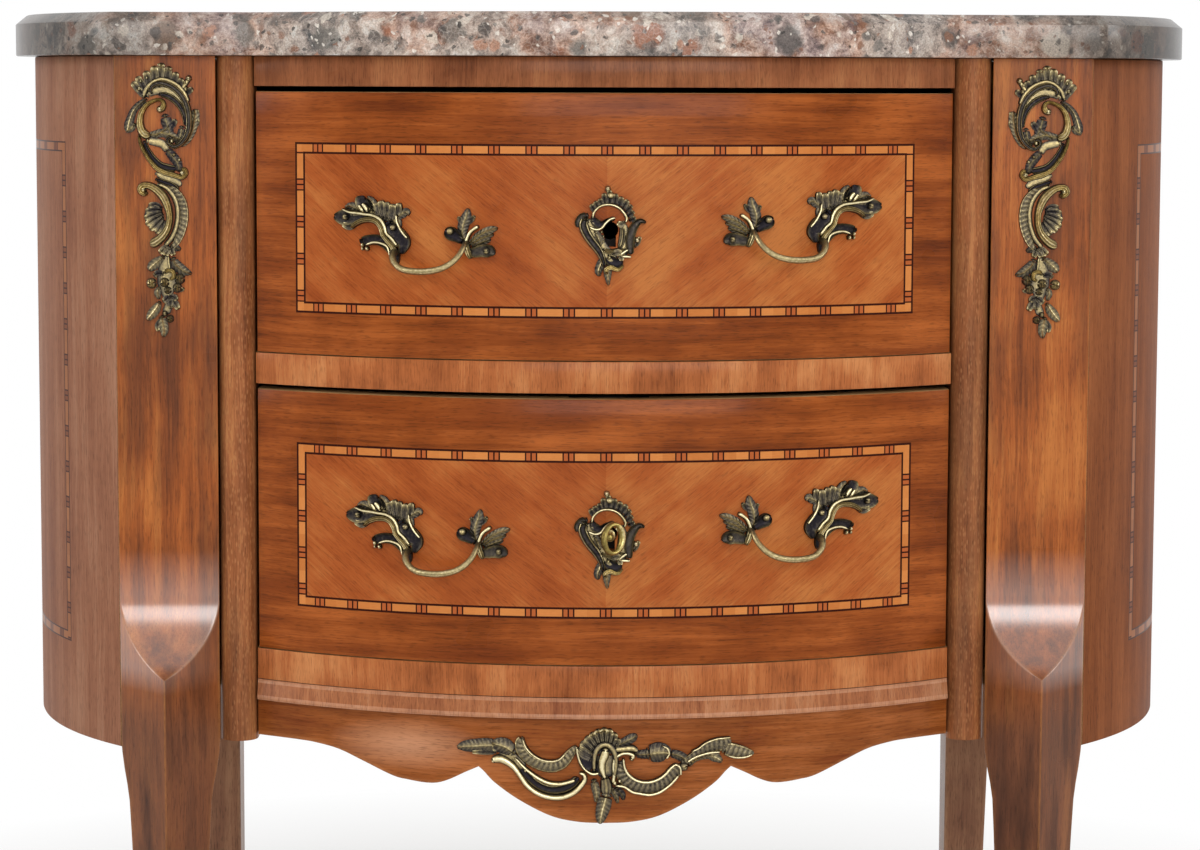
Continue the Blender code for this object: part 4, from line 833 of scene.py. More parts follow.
def fillet(before, corner, after):
    # the round corner between two edges of the outline
    radius = marbleShape["corner"] * mm
    corner = np.array(corner)
    a, b = np.array(before) - corner, np.array(after) - corner
    a, b = a / np.linalg.norm(a), b / np.linalg.norm(b)
    between = math.acos(float(np.clip(a @ b, -1, 1)))
    tangent = radius / math.tan(between / 2)
    middle = corner + (a + b) / np.linalg.norm(a + b) * radius / math.sin(between / 2)
    spoke = corner + a * tangent + (b - a) * tangent * np.linspace(0, 1, 9)[:, None] - middle
    return middle + spoke / np.linalg.norm(spoke, axis=1, keepdims=True) * radius


def marbleOutline():
    over = marbleShape["overhang"] * mm
    frontRadius = bow["radius"] + over
    facet = bow["frontY"] + legLook["facetY"] * mm - over
    turn = np.linspace(0, math.acos((bow["centreY"] - facet) / frontRadius), 60)
    front = np.stack([frontRadius * np.sin(turn), bow["centreY"] - frontRadius * np.cos(turn)], -1)
    radius = endRadius + over
    ends = arcPoints(endX, endY, radius, math.asin((facet - endY) / radius),
                     math.asin((high.y - endY) / radius), 60)
    reach = backRadius - marbleShape["backOverhang"] * mm
    turn = np.linspace(math.asin(half / reach), 0, 40)
    back = np.stack([reach * np.sin(turn), backCentre - reach * np.cos(turn)], -1)
    backStart = np.array([back[0, 0], high.y])
    right = np.concatenate([front[:-1], fillet(front[-2], front[-1], ends[0]),
                            fillet(front[-1], ends[0], ends[1]), ends[2:-2],
                            fillet(ends[-2], ends[-1], backStart), [backStart], back[1:]])
    return np.concatenate([right, right[-2:0:-1] * (-1, 1)])


def insetOutline(points, distance):
    # moves an outline inwards by a distance, along the mean of its two edge normals at each point
    before = points - np.roll(points, 1, 0)
    after = np.roll(points, -1, 0) - points
    before, after = (step / np.linalg.norm(step, axis=1, keepdims=True) for step in (before, after))
    normal = (before + after) / np.linalg.norm(before + after, axis=1, keepdims=True)
    return points + np.stack([-normal[:, 1], normal[:, 0]], -1) * distance


outline = marbleOutline()
edge = marbleShape["edge"] * mm
rim, inset = low.z + marbleShape["rimHeight"] * mm, marbleShape["rimInset"] * mm
profile = [(inset + edge, low.z), (edge, low.z), (edge * 0.3, low.z + edge * 0.3), (0, low.z + edge),
           (0, rim - edge * 0.7), (edge * 0.15, rim - edge * 0.15), (edge * 0.8, rim + edge * 0.4),
           (inset - edge, high.z - edge * 0.4), (inset - edge * 0.2, high.z - edge * 0.08),
           (inset + edge, high.z)]
centre = np.array([0.0, 0.012])
spokes, shares = insetOutline(outline, inset + edge) - centre, (0.05, 0.25, 0.5, 0.75)
rings = [flatRing(centre + spokes * share, low.z) for share in shares]
rings += [flatRing(insetOutline(outline, distance), z) for distance, z in profile]
rings = np.stack(rings + [flatRing(centre + spokes * share, high.z) for share in shares[::-1]])
addPiece("marble_top", buildMesh([skin(rings, aroundLength(outline), rings[:, :1, 2])], [marble],
                                 smoothAngle=24))
print("marble done")

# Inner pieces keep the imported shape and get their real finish
innerPieces = (
    (woods["carcassOak"], ["top_board", "bottom_board", "dust_board"] + [
        level + piece for level in bothLevels for piece in ("_drawer_bottom", "_drawer_back")]),
    (woods["carcassOakDeep"], [level + piece + word for level in bothLevels for side, word in bothSides
                               for piece in ("_runner_", "_drawer_side_")]),
    (lockIron, [level + piece for level in bothLevels for piece in ("_lock", "_bolt")]))
for material, names in innerPieces:
    for name in names:
        for place in bpy.data.objects[name].material_slots:
            place.material = material


# Cast mounts are drawn over the photograph as strokes. A row has the kind of section, the tone
# (lighter or darker patina), the height in mm where the section starts and the section's own height, and
# then across, down and width of each point of the stroke, in pixels of the photograph. "corner" is the
# pixel of the mount's lower outboard corner, or its lower left one, and "scale" the mm that a pixel takes
# there, across and up.
mountPixels = {"chute": {"corner": (131, 335.4), "scale": (0.637, 0.6325)},
               "handle": {"corner": (337, 275), "scale": (110 / 159, 50 / 81)},
               "escutcheon": {"corner": (576, 286), "scale": (0.634, 0.611)},
               "apron": {"corner": (458, 828), "scale": (186 / 302, 61 / 98)}}


def fromPixels(points, mount, digits=1):
    # (across, up, width) in mm from the corner, to a tenth
    (cornerX, cornerY), (wide, tall) = mountPixels[mount]["corner"], mountPixels[mount]["scale"]
    return [(round((u - cornerX) * wide, 1), round((cornerY - v) * tall, 1),
             round(w * (wide + tall) / 2, digits))
            for u, v, w in points]


def strokeTable(mount, text):
    strokes = []
    for row in text.strip().split("\n"):
        head, *points = row.split(",")
        kind, *settings = head.split()
        points = fromPixels([map(float, point.split()) for point in points], mount)
        strokes.append((kind, *map(float, settings), np.array(points)))
    return strokes


chuteStrokes = strokeTable("chute", """
petal -0.02 0.4 2.2, 152 96 5, 145 89 7, 138.5 81 6
petal 0.02 0.5 2.3, 153 93 5, 148 84 7, 143.5 75.5 6
petal 0.05 0.6 2.4, 156 91 5, 154 80 7.5, 152 70 6.5
petal 0.15 0.7 2.6, 160 88 5, 160.5 76 8, 160.5 65 7
petal 0.2 0.8 2.8, 165 87 5, 166 74 8.5, 167.5 62 8
petal 0.05 0.7 2.6, 171 87 5, 173 76 8, 175 65.5 7
petal 0 0.6 2.4, 177 88 5, 180 79 7, 182 71 6
petal -0.05 0.5 2.2, 182 90 5, 185 83 6, 187.5 77 5
petal -0.1 0.4 2, 188 95 5, 193 91 6, 198 87 5
petal -0.05 0.3 1.8, 151 97 5, 147 92 6, 144 87 5
round -0.2 0.4 1.8, 184 92 4, 190 84 5, 194 77.5 5
ball 0.1 0.8 2.6, 194 77.5 6.5
ball -0.1 0.8 2.2, 190 81.5 5
ball -0.1 0.8 2.2, 191 88 5.5
ball 0.05 0.8 2, 145.5 87.5 5
ball 0.15 0.9 2, 147 80 4
ball 0.15 0.9 2, 153 77 3.6
round -0.3 0.9 2, 149 97 4, 153 87 5, 161 80 5.5, 170 78.5 5.5, 181 83 5.5, 189 91 5.5, 194 101 4
flat -0.45 0 1.1, 151 95 7, 159 90 9, 170 89 10, 180 94 9, 187 103 8, 191 115 6
groove 0.08 1.5 2.2, 158 93 3, 156.5 88 4.2, 160 83.5 5, 166 82 5.6, 174 84 6, 182 89 6.5, 188 96 6.6, \
192 105 6.6, 194 116 6.2, 193.5 127 5.8, 190.5 136 5.2, 185 142.5 4.8, 179 145 4.2, 174.5 143 3.8, \
172.5 139.5 3.6, 174.5 136 3.6, 178 136.6 4
ball 0.25 1.4 2.2, 177 139.4 5
groove -0.12 0.7 1.6, 164 93 4, 172 94.5 6, 180 99 6.5, 186 106 6, 189.5 115 5, 190.5 124 4
ribbed 0.3 1.5 2.8, 163.5 109 6, 168 107 6.4, 169.2 102 4.8, 165.5 98.5 3.6, 159 100 4, 152.5 104 4.8, \
148 110.5 5.8, 146 118 6.8, 146.3 125 7.8, 148.5 130.5 8.6, 152 133.2 9.2, 156 132.5 8
ball 0.25 1.8 2.6, 165.5 108 7
leaf -0.12 0.2 1.9, 153 98 3, 146 102.5 6, 140 109 7, 136.5 117 8, 134.5 124 9, 133.5 131 5
leaf 0.05 0.4 1.7, 141 122 5, 137 127 7, 131.5 130.5 3
ribbed 0.22 0.9 2.4, 144.5 133 3.2, 146 142 3.4, 150 151 3.8, 155.5 159.5 4.4, 162 166.5 5.2, \
169 170.5 6.2, 176 172.5 5.8, 182 174.5 5.2, 187 175.5 4.8, 190.7 172 4.4, 189.5 167.5 4.2, 186 168 4.6
ball 0.15 1.2 2.6, 187 171 6
groove -0.22 0 1.6, 149 139 4, 153 148 5, 158 156 6, 165 163 7, 173 166 7.5, 181 167 6
leaf -0.3 0.2 1.7, 170 147 6, 176 153 9, 182 161 9, 184 170 6
ball 0.1 1.2 1.6, 184 158 4
ball -0.1 1.2 1.6, 179 153 3.6
leaf -0.02 0.5 1.9, 153 134 5, 160 133 7.5, 168 131.5 8.5, 176 134 8, 184 138 6
leaf 0.02 0.9 1.5, 160 136 3, 166 131 4, 172 127 3.4, 174 124 2
flat -0.35 0 1.3, 151 139 6, 160 140.5 8, 168 143 8, 172 150 6
leaf -0.22 0.1 1.5, 187 124 6, 185.5 134 8, 181 143 5
leaf -0.3 0.2 1.7, 176 136 5, 174 128 9, 171.5 120 11, 170 112.5 7
petal -0.3 0.2 1.5, 174 128 4, 178 123 6, 181 118 5
leaf 0.14 0.5 2.3, 186 145 3, 192.5 139 5, 197 130 7, 199 121 8.5, 200 113 8.5, 199 107.5 4
petal 0.05 0.3 1.8, 196 128 3, 201.5 123 4, 203 117 3
petal 0.05 0.3 1.8, 197 118 3, 201.5 112 4, 202.5 108 3
groove -0.28 0.4 1.7, 160 177 4, 168 180 5.5, 177 183.5 6.5, 183 189 6
flat -0.4 0 1.3, 160 171 4, 170 176 7, 181 180 7, 186 184 4
ribbed 0.22 1.5 2.8, 153 190.5 4, 149 191.8 5.2, 145.3 188 6.2, 148 183.6 6.8, 155 184 7.4, 162 188 8.4, \
168 194.5 9, 172 203 8, 174 212 6.8, 173.5 221 6.8, 170.5 229 7.8, 165 236 8.8, 158.5 240.5 9.8, \
154 241.5 8
ball 0.1 1.6 2.6, 148.5 187.8 7
round -0.35 0.4 1.8, 162 182 4, 171 186 5.2, 178 194 5.8, 181.5 204 5.8, 182 215 5.8, 180 226 5.8, \
175.5 236 5.8, 169 243.5 5
gadroon 0.02 0.2 2.4, 172 184 3, 180 189 6, 185.5 197 8, 188 207 8.8, 188 218 8.8, 185.5 229 8.2, \
181.5 238 7.4, 176 246 4
flat -0.42 0 1, 161 201 9, 158.5 214 19, 161 229 9
petal -0.18 0.3 1.9, 167 206 4, 160 203 6, 153 203.5 5
petal -0.12 0.4 2.1, 167 208 4, 158 207.5 6, 150 209.5 5
petal 0 0.5 2.3, 167 210 4, 158 212.5 6, 149 216.5 5
petal 0.08 0.5 2.4, 168 212 4, 159 217 6.4, 150.5 223 5
petal 0.12 0.5 2.4, 168 215 4, 162 221 6.4, 154.5 228 5
petal 0.05 0.4 2.2, 169 218 4, 165 225 6, 160 231 5
petal -0.1 0.3 2, 169 221 4, 167.5 226 5, 165 230.5 4
petal 0.2 0.6 2.6, 173 243 5, 168 247 7, 163.5 251 5
petal 0.22 0.8 2.6, 173 244 5, 171 249 7, 169.5 254 5
petal 0.15 0.6 2.6, 174 244 5, 176 249 6, 178 253.5 4
leaf -0.25 0.3 2, 174 243 5, 180 245.5 7, 185 247.5 3
leaf 0.16 0.5 2.6, 168.5 254 4, 162 259 9, 156.5 264 10, 153 268.5 4
round -0.15 0.8 1.6, 172.5 253 2.4, 173 262 2.8, 174 269 2.4
flat -0.45 0 1, 171 253 8, 169 266 14, 171 280 20, 171 291 12, 173 299 8, 169 312 9
leaf -0.02 0.6 2.5, 176 255 6, 180 262 9.5, 186 267.5 10, 191 270 7, 195.5 271.5 2
ribbed 0.22 1.6 2.4, 168 271 4, 172 268 4.8, 177 269.5 5, 177.5 274.5 4.6, 173.5 277 4
ribball 0.12 1.4 3, 168.5 280 10
ribball 0.28 1 2.8, 155.5 281 10.5
ribball -0.05 1 2.8, 183.5 276.5 11
ribball 0 1 2.6, 181 285.5 10
ribball -0.08 0.8 2.4, 171.5 288 8
petal -0.2 0.5 2, 168 272 4, 162 271 7, 158 274 5
petal 0.1 0.6 2, 180 287 3, 185 287.5 4, 187.5 285.5 3
leaf 0.12 0.6 2.1, 163.5 284 4, 161.5 290 7, 163 297 3
petal -0.05 0.6 2.2, 175 293 4, 170.5 296.5 7, 166.5 299.5 5
petal 0 0.8 2.3, 174 294 4, 173.5 300 7, 174.5 306.5 5
petal 0.03 0.7 2.2, 174 294 4, 178 295 6, 181 298 4
petal 0.08 0.8 2.3, 175 296 4, 179 301.5 7, 182.5 307 4
leaf 0.26 0.7 2.8, 164 299 4, 160 306 9, 155.5 312 9.5, 151 318 4
ball -0.35 0.8 2.4, 168.5 311 6
ribball -0.02 0.8 2.4, 173.5 316.5 8
leaf 0.18 0.7 2.7, 165 313 5, 166.5 321 9.5, 167.5 329 8, 166.5 335 2
petal 0.02 0.4 2, 165 316 4, 161 323 5, 162 329 2.5
""")
handleStrokes = strokeTable("handle", """
cup -0.05 0.3 2.2, 374 215 6, 363 216 11, 353 216.5 14.5, 345 216.8 13.5, 337.3 216 4
ball -0.3 1.4 2.6, 349.5 216.5 7
petal 0.05 0.3 2, 361 222 5, 353 226 7, 346 223.5 4
leaf -0.02 0.4 2.4, 370 212.5 5, 361 208 8.5, 354 205.5 7, 348.5 207.5 2.5
cup -0.12 0.4 2.6, 376 213 6, 370 206 12, 366 200 13, 367 195 6
round 0.3 1.9 1.8, 373 211 3.4, 370 206 4.4, 367 202.5 3
round 0.25 1.7 1.6, 368.5 211 3, 365.5 207.5 3.8, 363.5 204 2.6
leaf -0.02 0.6 2.6, 379 214 5, 379 206 7, 376 200 6.5, 371 196 3
petal 0.03 0.6 2.5, 384 217 5, 382 208 7.4, 380.5 201 5
petal 0.06 0.7 2.6, 388 218 4.6, 386.5 208 7.6, 386 199 5
petal 0.02 0.6 2.5, 391 219 4.6, 391 209 7.6, 391.5 200.5 5
petal 0.1 0.7 2.6, 395 221 5, 396.5 211 8, 397.5 202.5 6
petal 0.12 0.6 2.4, 399 219 5, 402 209.5 7.5, 403.5 201.5 4.5
leaf -0.04 0.4 2.2, 400 217 5, 405 212.8 8.5, 410 210.5 7.5, 412.8 213.5 3
flat -0.35 0 1.4, 352 213 8, 366 210 10, 380 211 12, 392 214 12, 400 220 10, 400 228 12
cup -0.15 0.4 2.5, 391 220 7, 396 228 13, 403 236 17, 408 242 13, 405 252.5 4
ball -0.3 1.5 2.6, 397.3 226.3 7
round 0.24 1.6 1.6, 400.5 213 2.2, 401.5 221 2.8, 405.5 229.5 2.8, 411.5 237 2.6
round 0.2 1.9 1.6, 346.5 208.5 2.2, 354 211.6 2.8, 362 212.4 3.2, 370 213.4 3.2, 378 214.6 3.4, \
385 218.5 3.6, 389 225 3.6, 391 232 3.4, 396 237 3.2, 401.5 244 2.6
ribbed 0.1 1 2.5, 355 227.5 4, 360.5 222.5 5.2, 368 219.2 5.8, 376 218.8 5.8, 382 221.5 5.8, \
385.7 227.5 5.8, 387.5 234 5.4, 392 240 5.6, 397 246 6.2, 400 253 6.4
cup -0.14 0.3 2.4, 364 243 7, 370 240 9.5, 379 238.5 9.5, 387 240.5 9.5, 394 246 10, 399 253 9, \
400 260 6, 397 265 3
round 0.25 1.8 1.6, 370.5 244 2.2, 378 241.5 2.8, 386 242.3 2.8, 392 246 2.8, 394.5 255 2.2
ball 0.2 1.2 2, 366.8 244.3 4.4
ball 0.2 0.9 2.2, 371.2 248 4.6
ball 0.05 0.8 1.8, 366.5 248 3.6
cup -0.25 0.4 3, 465 240 5, 459 235 9.5, 452.5 231 12.5, 446.5 228.5 7
ball -0.22 1.2 3, 452 229 8
leaf -0.1 0.4 2.5, 466 241 4, 463.5 231 9, 464.5 222 11, 467.5 213 9, 468.5 206 3
petal -0.08 0.3 2, 464.5 224 4, 462 218.5 5, 459 214.5 3.4
petal -0.05 0.3 2, 467 222 4, 471.5 217.5 5.4, 475 213.5 3.4
round 0.3 1.8 2, 467 245 3.2, 468 237 3.4, 471 230 3.4, 475 226 3.6, 478.8 223.5 4.4
leaf 0.12 0.6 2.5, 469.5 242 4, 477 234 6.4, 485 229 7.4, 491.5 226.5 6.4, 496.5 225.5 2
leaf 0.02 0.4 2.2, 471 243 4, 479 237 6.6, 486.5 233.5 6.2, 492.5 231.5 2.4
leaf -0.03 0.3 2, 472 245 4, 480 240.5 6.4, 486 238 5.4, 490 237 2.4
cup 0.08 0.5 2.4, 468 249.5 6, 475 249.5 9.5, 482 248 11.5, 489 248.5 11.5, 494 251 4
ball -0.28 1.4 2.6, 486 248.3 6.8
ribbed 0.05 0.8 2.8, 466.5 238 5, 467.5 245 7, 469.5 251 7, 471.5 256 4
""")
escutcheonStrokes = strokeTable("escutcheon", """
ball 0.35 0.9 3, 606.3 189.3 6
ball -0.05 1.2 3, 609 196 7.4
petal -0.05 0.5 2.2, 594.5 213 4, 592 208.5 5.4, 590 204.5 4
petal 0.02 0.5 2.3, 597.5 209.5 4, 595.5 205.5 5.4, 594 201.5 4
petal 0.02 0.5 2.3, 601 207.5 4, 599.5 203 5.4, 598.5 199 4
petal -0.02 0.6 2.3, 604 206.5 4, 603 200 5.4, 602.5 193.5 4
petal -0.05 0.6 2.4, 608 206 4, 608 200 6, 607.5 190 4.4
petal -0.02 0.6 2.4, 612 206.5 4, 613.5 200.5 6, 614 194 4.4
petal 0 0.6 2.4, 616 208 4, 618.5 202.5 6, 619.5 197 4.6
petal 0.02 0.6 2.4, 619.5 210 4, 623 205 6, 625.5 200 4.6
petal -0.02 0.5 2.3, 622.5 213 4, 626.5 209 6, 629.5 205.5 4.6
petal -0.04 0.5 2.2, 625 217 4, 629 214 6, 631.5 211.5 4.4
petal -0.04 0.4 2.1, 626.5 221 4, 630.5 219.5 5.4, 633 217.5 4
round 0.08 1.5 1.5, 592 219 2.1, 592.8 213.5 2.4, 597 208.3 2.6, 603.5 205.3 2.7, 611 205.6 2.7, \
617 208.5 2.7, 621.5 213 2.7, 624.5 218.5 2.7, 623.5 223 2.1
groove -0.04 0.7 2.7, 586 217 7, 583 225 9.4, 586 234 9.4, 591 242 9.2, 597 250 8.4, 601 258 6.4, \
603.5 267 4
cup 0.08 0.9 2.2, 588 215.5 5, 582 217.5 7.4, 577.5 222.5 6, 578 228 3
cup -0.16 0.3 2, 592 216 4, 594 222.5 8.4, 600 225.5 7.6, 606 221.5 5, 613 218.5 4
round 0.22 1.8 1.4, 588.5 227.5 2.6, 594.5 230 2.7, 600 228.8 2.7, 604 224 2.7, 608.5 219.8 2.7, \
613.5 218 2.2
leaf -0.05 0.4 1.9, 593 231 6, 597 238 8.4, 600.5 247 6.4
ball 0.22 0.8 1.8, 600.5 232.5 3
ball 0.22 0.8 1.8, 602 237 3
ball 0.22 0.8 1.8, 602.5 242 3
ribbed -0.24 0.3 1.8, 620 226 5, 620.5 238 7, 618 249 6
petal 0.32 1.4 1.6, 623 222 4, 619 225 6.4, 615.5 222.5 3.6
cup 0.1 0.7 2.9, 643 223 3, 637.5 221.5 5, 632.5 226 7.6, 629 233 8.6, 627.5 240 8.8, 627.5 247 7.8, \
628.5 255 5
ball 0.35 0.8 2.8, 634.5 240.5 6
petal 0.2 0.5 2, 632 248 3, 635.5 243 4.4, 637.5 237 3
petal 0.35 1.9 1.9, 610.5 254.5 4, 616 253 6.4, 621 255 4.4
petal 0.3 1.7 1.9, 616 255 4, 619 258 5.4, 619.5 262 3.4
round 0.35 2 1.6, 618 256 3, 622 252.5 3, 626 250 2.2
round 0.3 1.8 1.6, 619 257 3, 624 257 3, 629 257.5 2.2
ribbed -0.08 0.5 2.2, 601 250 5, 609 252.5 6, 618 251.5 6, 626 252 5
cup -0.3 0.5 2.4, 604 256 6, 609 261 10, 615 263.5 10, 621 261 6
ball 0 1.9 1.8, 607.8 258 4.4
ribbed 0.34 1.7 2.3, 605 275 4, 604.8 270.5 5.2, 609 267.8 5.8, 613.5 269.5 5, 617.5 269.8 4, \
621.5 265.5 2.6
leaf 0.06 0.5 2.4, 607 266 8, 606.5 275 7.6, 607 286 2.2
leaf -0.1 0.3 2.1, 602.5 257 5, 599.5 265 8.4, 597.5 272 7.4, 598.5 277 3
flat -0.4 0 1.3, 589 219 7, 591 230 10, 597 240 11, 602 250 12, 608 258 14, 610 266 12
flat -0.4 0 1.3, 620 222 6, 623 236 10, 622 249 11, 617 256 10
""")
apronStrokes = strokeTable("apron", """
leaf -0.02 0.3 2.3, 501 750 10, 490 750 13.5, 478 751 13.5, 466 752 10.5, 458.3 753.5 3
petal 0.1 0.2 1.9, 499 757 4, 487 757.5 5, 474 757.5 3
leaf -0.04 0.7 2.5, 519 758 8, 509 751 16, 500 748.5 13, 494 747 4
petal 0.05 0.6 2, 503 752 5, 498 752.5 7, 494.5 753 4
flat -0.35 0 1.4, 500 752 9, 511 759 11, 520 766 10, 528 773 9
gadroon 0.06 0.8 2.8, 527.5 742 5, 523.5 745 9.4, 524 753 10.6, 529 760 10.8, 537 765.8 10.8, \
547 769.6 10.8, 557 770 11.4, 566 766 11.4, 572 759 10.4, 577 752.5 7.4, 580 748.5 3
round 0.16 2.3 1.5, 526 742 2.2, 528.8 749.5 2.4, 534 756 2.4, 542 761.5 2.4, 552 764.2 2.4, \
562 762.7 2.4, 568.5 757 2.2
round 0.28 1.2 2.9, 494.5 766.5 5, 499 763.5 8, 505 763.5 8.6, 512 767 7.8, 518 772 6.4, 524 780 5.6, \
530 788.3 5.6, 538 795 5.6, 548 799.6 6, 558 801.2 6, 568 800.2 6, 577 796.2 6, 584 790 5.6, 588.6 783 5, \
587.5 777.5 4.4, 583 775.5 3.2
groove -0.22 0.3 2, 516 762 4, 524 772 8, 532 781 9, 542 789 9.6, 553 793 10, 565 792.5 10, 575 788 10, \
582 781 8
round 0.18 1.5 1.9, 518.5 761.5 2.8, 526 769.5 3.4, 534 776.5 3.9, 543 782.5 4.3, 553 786.5 4.5, \
563 787.3 4.5, 572 785.5 4.3, 579 783 4
ball 0.05 1.2 2, 529 774.5 4.4
petal 0.02 0.5 2.4, 598 762 7, 589 757 11, 581 751 9
petal 0.04 0.6 2.5, 598 756 6, 591 750 9, 584.5 744.5 8
petal 0.08 0.7 2.6, 600 752 6, 594.5 745.5 8, 589.5 739 7.4
petal 0.14 0.8 2.7, 602 749 5, 598.5 742 8, 595 734.8 7.4
petal 0.16 0.9 2.8, 605 747.5 5, 603 739.5 8, 601 731.5 7.4
petal 0.16 0.9 2.8, 608 747 5, 608 738.5 8, 607.5 730 7.4
petal 0.16 0.9 2.8, 611.5 747.5 5, 612.5 739.5 7.4, 613.5 731 7
petal 0.12 0.8 2.7, 614.5 749 5, 617 742 7, 618.8 735 6.4
petal 0.08 0.7 2.5, 617 752 5, 620 746.5 6.6, 622 740.5 6
cup -0.24 0.3 2.1, 602 772 12, 593 767 17, 588 758 15, 586 749 8
round 0.24 1.6 1.7, 580.3 749.5 2.6, 581.6 758 2.8, 584.3 766 2.8, 589 772.5 2.8, 596 776.8 3.2, \
603 776 3
round -0.33 1.4 2.4, 598 774 4, 598 763 5, 600 753.5 5.8, 605 748 6.4, 611 747.4 6.4, 616 751.5 6.4, \
619 758.5 5.8, 619.5 768 5.4, 618 779 5
flat -0.5 0 1.2, 608.5 751 15, 609 765 18, 609 782 16
round 0.22 1.6 3, 609.5 750 6, 608.5 757 9.4, 605.8 765 8.4, 606 773 6.8, 608.8 781 3
leaf -0.08 0.4 2.1, 619 749.5 6, 628 745 8.4, 636 741 9.4, 641 737.5 4
round -0.22 0.5 2.3, 616 752.5 7, 627 752 7.4, 636 751.5 7.4, 642 754.5 4
leaf -0.2 0.3 2.3, 638 757 5, 646 757.5 9, 655 757 10
leaf -0.08 0.9 3.2, 649 757.5 9, 655 756.5 17, 663 755.5 20, 670.5 756 14.5, 675 758 4
round 0.2 2.2 1.6, 666 748.5 2, 671 751.5 2.6, 673 757 2.6, 670 762 2
leaf -0.14 0.5 2.3, 672 757 7, 681 758.5 9, 689 762.5 9, 696 767 6
ball -0.3 1 3.2, 688.3 770.6 9.4
round 0.26 1.4 2, 634.5 763.5 5, 637 758.5 4.2, 631 756 3.7, 624.5 757 3.7, 619.3 761 4, 617.2 768 4.2, \
617.8 777 4.2, 617 786 4
gadroon -0.08 0.4 2.7, 626 764 6, 624 772 10, 627 780 13.4, 633.5 786 14, 642 790 13.6, 652 791.6 13.2, \
662 789.8 13.2, 671 785 13.2, 678 778 12.4, 682.5 772 9, 680.5 768.5 4
round 0.35 2.2 1.6, 627 761 2.6, 628 769 2.8, 631 776 3, 637 781.5 3.2, 645 785 3.3, 654 785.2 3.3, \
663 782.2 3.3, 670 777 3.2, 675 771.5 3, 680 768.3 2.8, 684.3 772 2.7, 684.8 779 2.6
round 0.35 1.7 1.7, 619 788.5 2.9, 628 790 3, 636 795 3.2, 645 797.2 3.3, 654 798.2 3.3, 663 796.2 3.3, \
671 791.2 3.2, 677.5 785.5 3.1, 682.5 779.5 2.8
ball 0.3 1.8 2, 618.5 786 5
ball 0.3 1.8 1.8, 623.5 784 4.4
gadroon -0.08 0.5 2.7, 686 767.5 7, 694 763 8, 702 757.5 9.4, 711 752.8 11.4, 721 750 13.4, \
730 748.8 12.4, 737 745.5 5
round 0.35 1.7 1.6, 691 766.5 2.6, 698 762 2.8, 706 759 2.8, 715 757.2 2.7, 725 756.8 2.4
round 0.15 1.7 1.4, 696 755.5 2, 703 752.5 2.2, 710 747.5 2.2, 720 743.8 2.2, 729 742.8 2.2, 736 742.5 2
gadroon 0.04 0.6 2.5, 727 753 8, 735 755 14.4, 744 757 13.6, 753 759 10.6, 761 759.5 3
round 0.33 1.5 1.4, 733 761 2, 742 763.2 2.4, 751 763.3 2.4, 758.5 761 2
leaf 0.12 0.4 2.1, 693.5 771 3, 699 765.2 4.2, 706 762.2 5, 714 760.5 7.4, 721 762.5 10, 728 767.5 3.4
leaf 0.14 0.5 2.3, 597.5 782 6, 599 790 8.4, 600.5 798 7.4, 599.8 806 3
ribbed -0.2 0.4 2.2, 608 778 8, 610 788 12, 610.5 799 13
leaf 0.06 0.5 2.7, 611 796 10, 608.5 806 14.4, 606 815 13.4, 604.5 823 9.4, 603.8 828 3
leaf 0.06 0.4 2.1, 615 791 6, 619 798 6.6, 622 807 2.4
leaf -0.3 0.3 2, 619 791 6, 626 798 7, 627.5 804 2.4
ball 0.3 1.6 1.4, 606.3 804.3 2.6
""")
barPath = fromPixels([(399.5, 251, 4.2), (401, 256, 4), (405, 262, 3.7), (411, 267, 3.5), (418, 269.6, 3.4),
                      (427, 270.6, 3.4), (436, 270.6, 3.4), (446, 268.8, 3.3), (454, 265.4, 3.2),
                      (460.5, 260, 3.1), (465, 253, 3), (467.3, 246, 2.9), (467.6, 240, 2.6)], "handle", 2)

castLook = {"step": 0.55, "across": 19, "gadroon": 3.1, "vein": 2.6, "gap": 0.3, "hollowShare": 0.5}


def sectionHeight(kind, q, walk, share):
    # height of a section, 0 to 1, at q across (-1 to 1), at a distance walked in mm and a share of the
    # whole length
    dome = np.sqrt(np.clip(1 - q ** 2, 0, 1))
    if kind == "groove":  # two ridges with a hollow between
        return 0.36 + 0.64 * np.exp(-((np.abs(q) - 0.68) / 0.2) ** 2)
    if kind == "ribbed":  # three ridges that run along
        return (0.25 + 0.75 * dome) * (0.84 + 0.16 * np.cos(3 * np.pi * q))
    if kind == "leaf":  # a midrib and slanting veins
        vein = np.cos(2 * np.pi * (walk / castLook["vein"] - 0.9 * np.abs(q)))
        return 0.34 + 0.36 * (1 - np.abs(q)) + 0.22 * np.exp(-(q / 0.13) ** 2) + 0.1 * vein * np.abs(q) ** 0.6
    if kind == "petal":  # hollow along the middle, curling up at its tip
        rise = np.clip((share - 0.45) / 0.4, 0, 1) ** 2
        return 0.34 + 0.24 * np.abs(q) ** 2 + rise * 0.36 + 0.06 * np.cos(5 * np.pi * q)
    if kind == "cup":  # hollow with a raised rim
        return 0.3 + 0.7 * np.abs(q) ** 3
    if kind == "gadroon":  # lobes side by side across the stroke
        lobe = np.abs(np.cos(np.pi * (walk - 0.8 * q) / castLook["gadroon"])) ** 0.7
        return (0.3 + 0.5 * dome) * (0.62 + 0.38 * lobe) + 0.2 * np.exp(-((q - 0.86) / 0.12) ** 2)
    if kind == "ribball":  # a ball of petals
        return dome * (0.82 + 0.18 * np.cos(3.5 * np.pi * q))
    if kind == "flat":
        return 0.7 + 0.3 * dome
    return dome ** 0.9


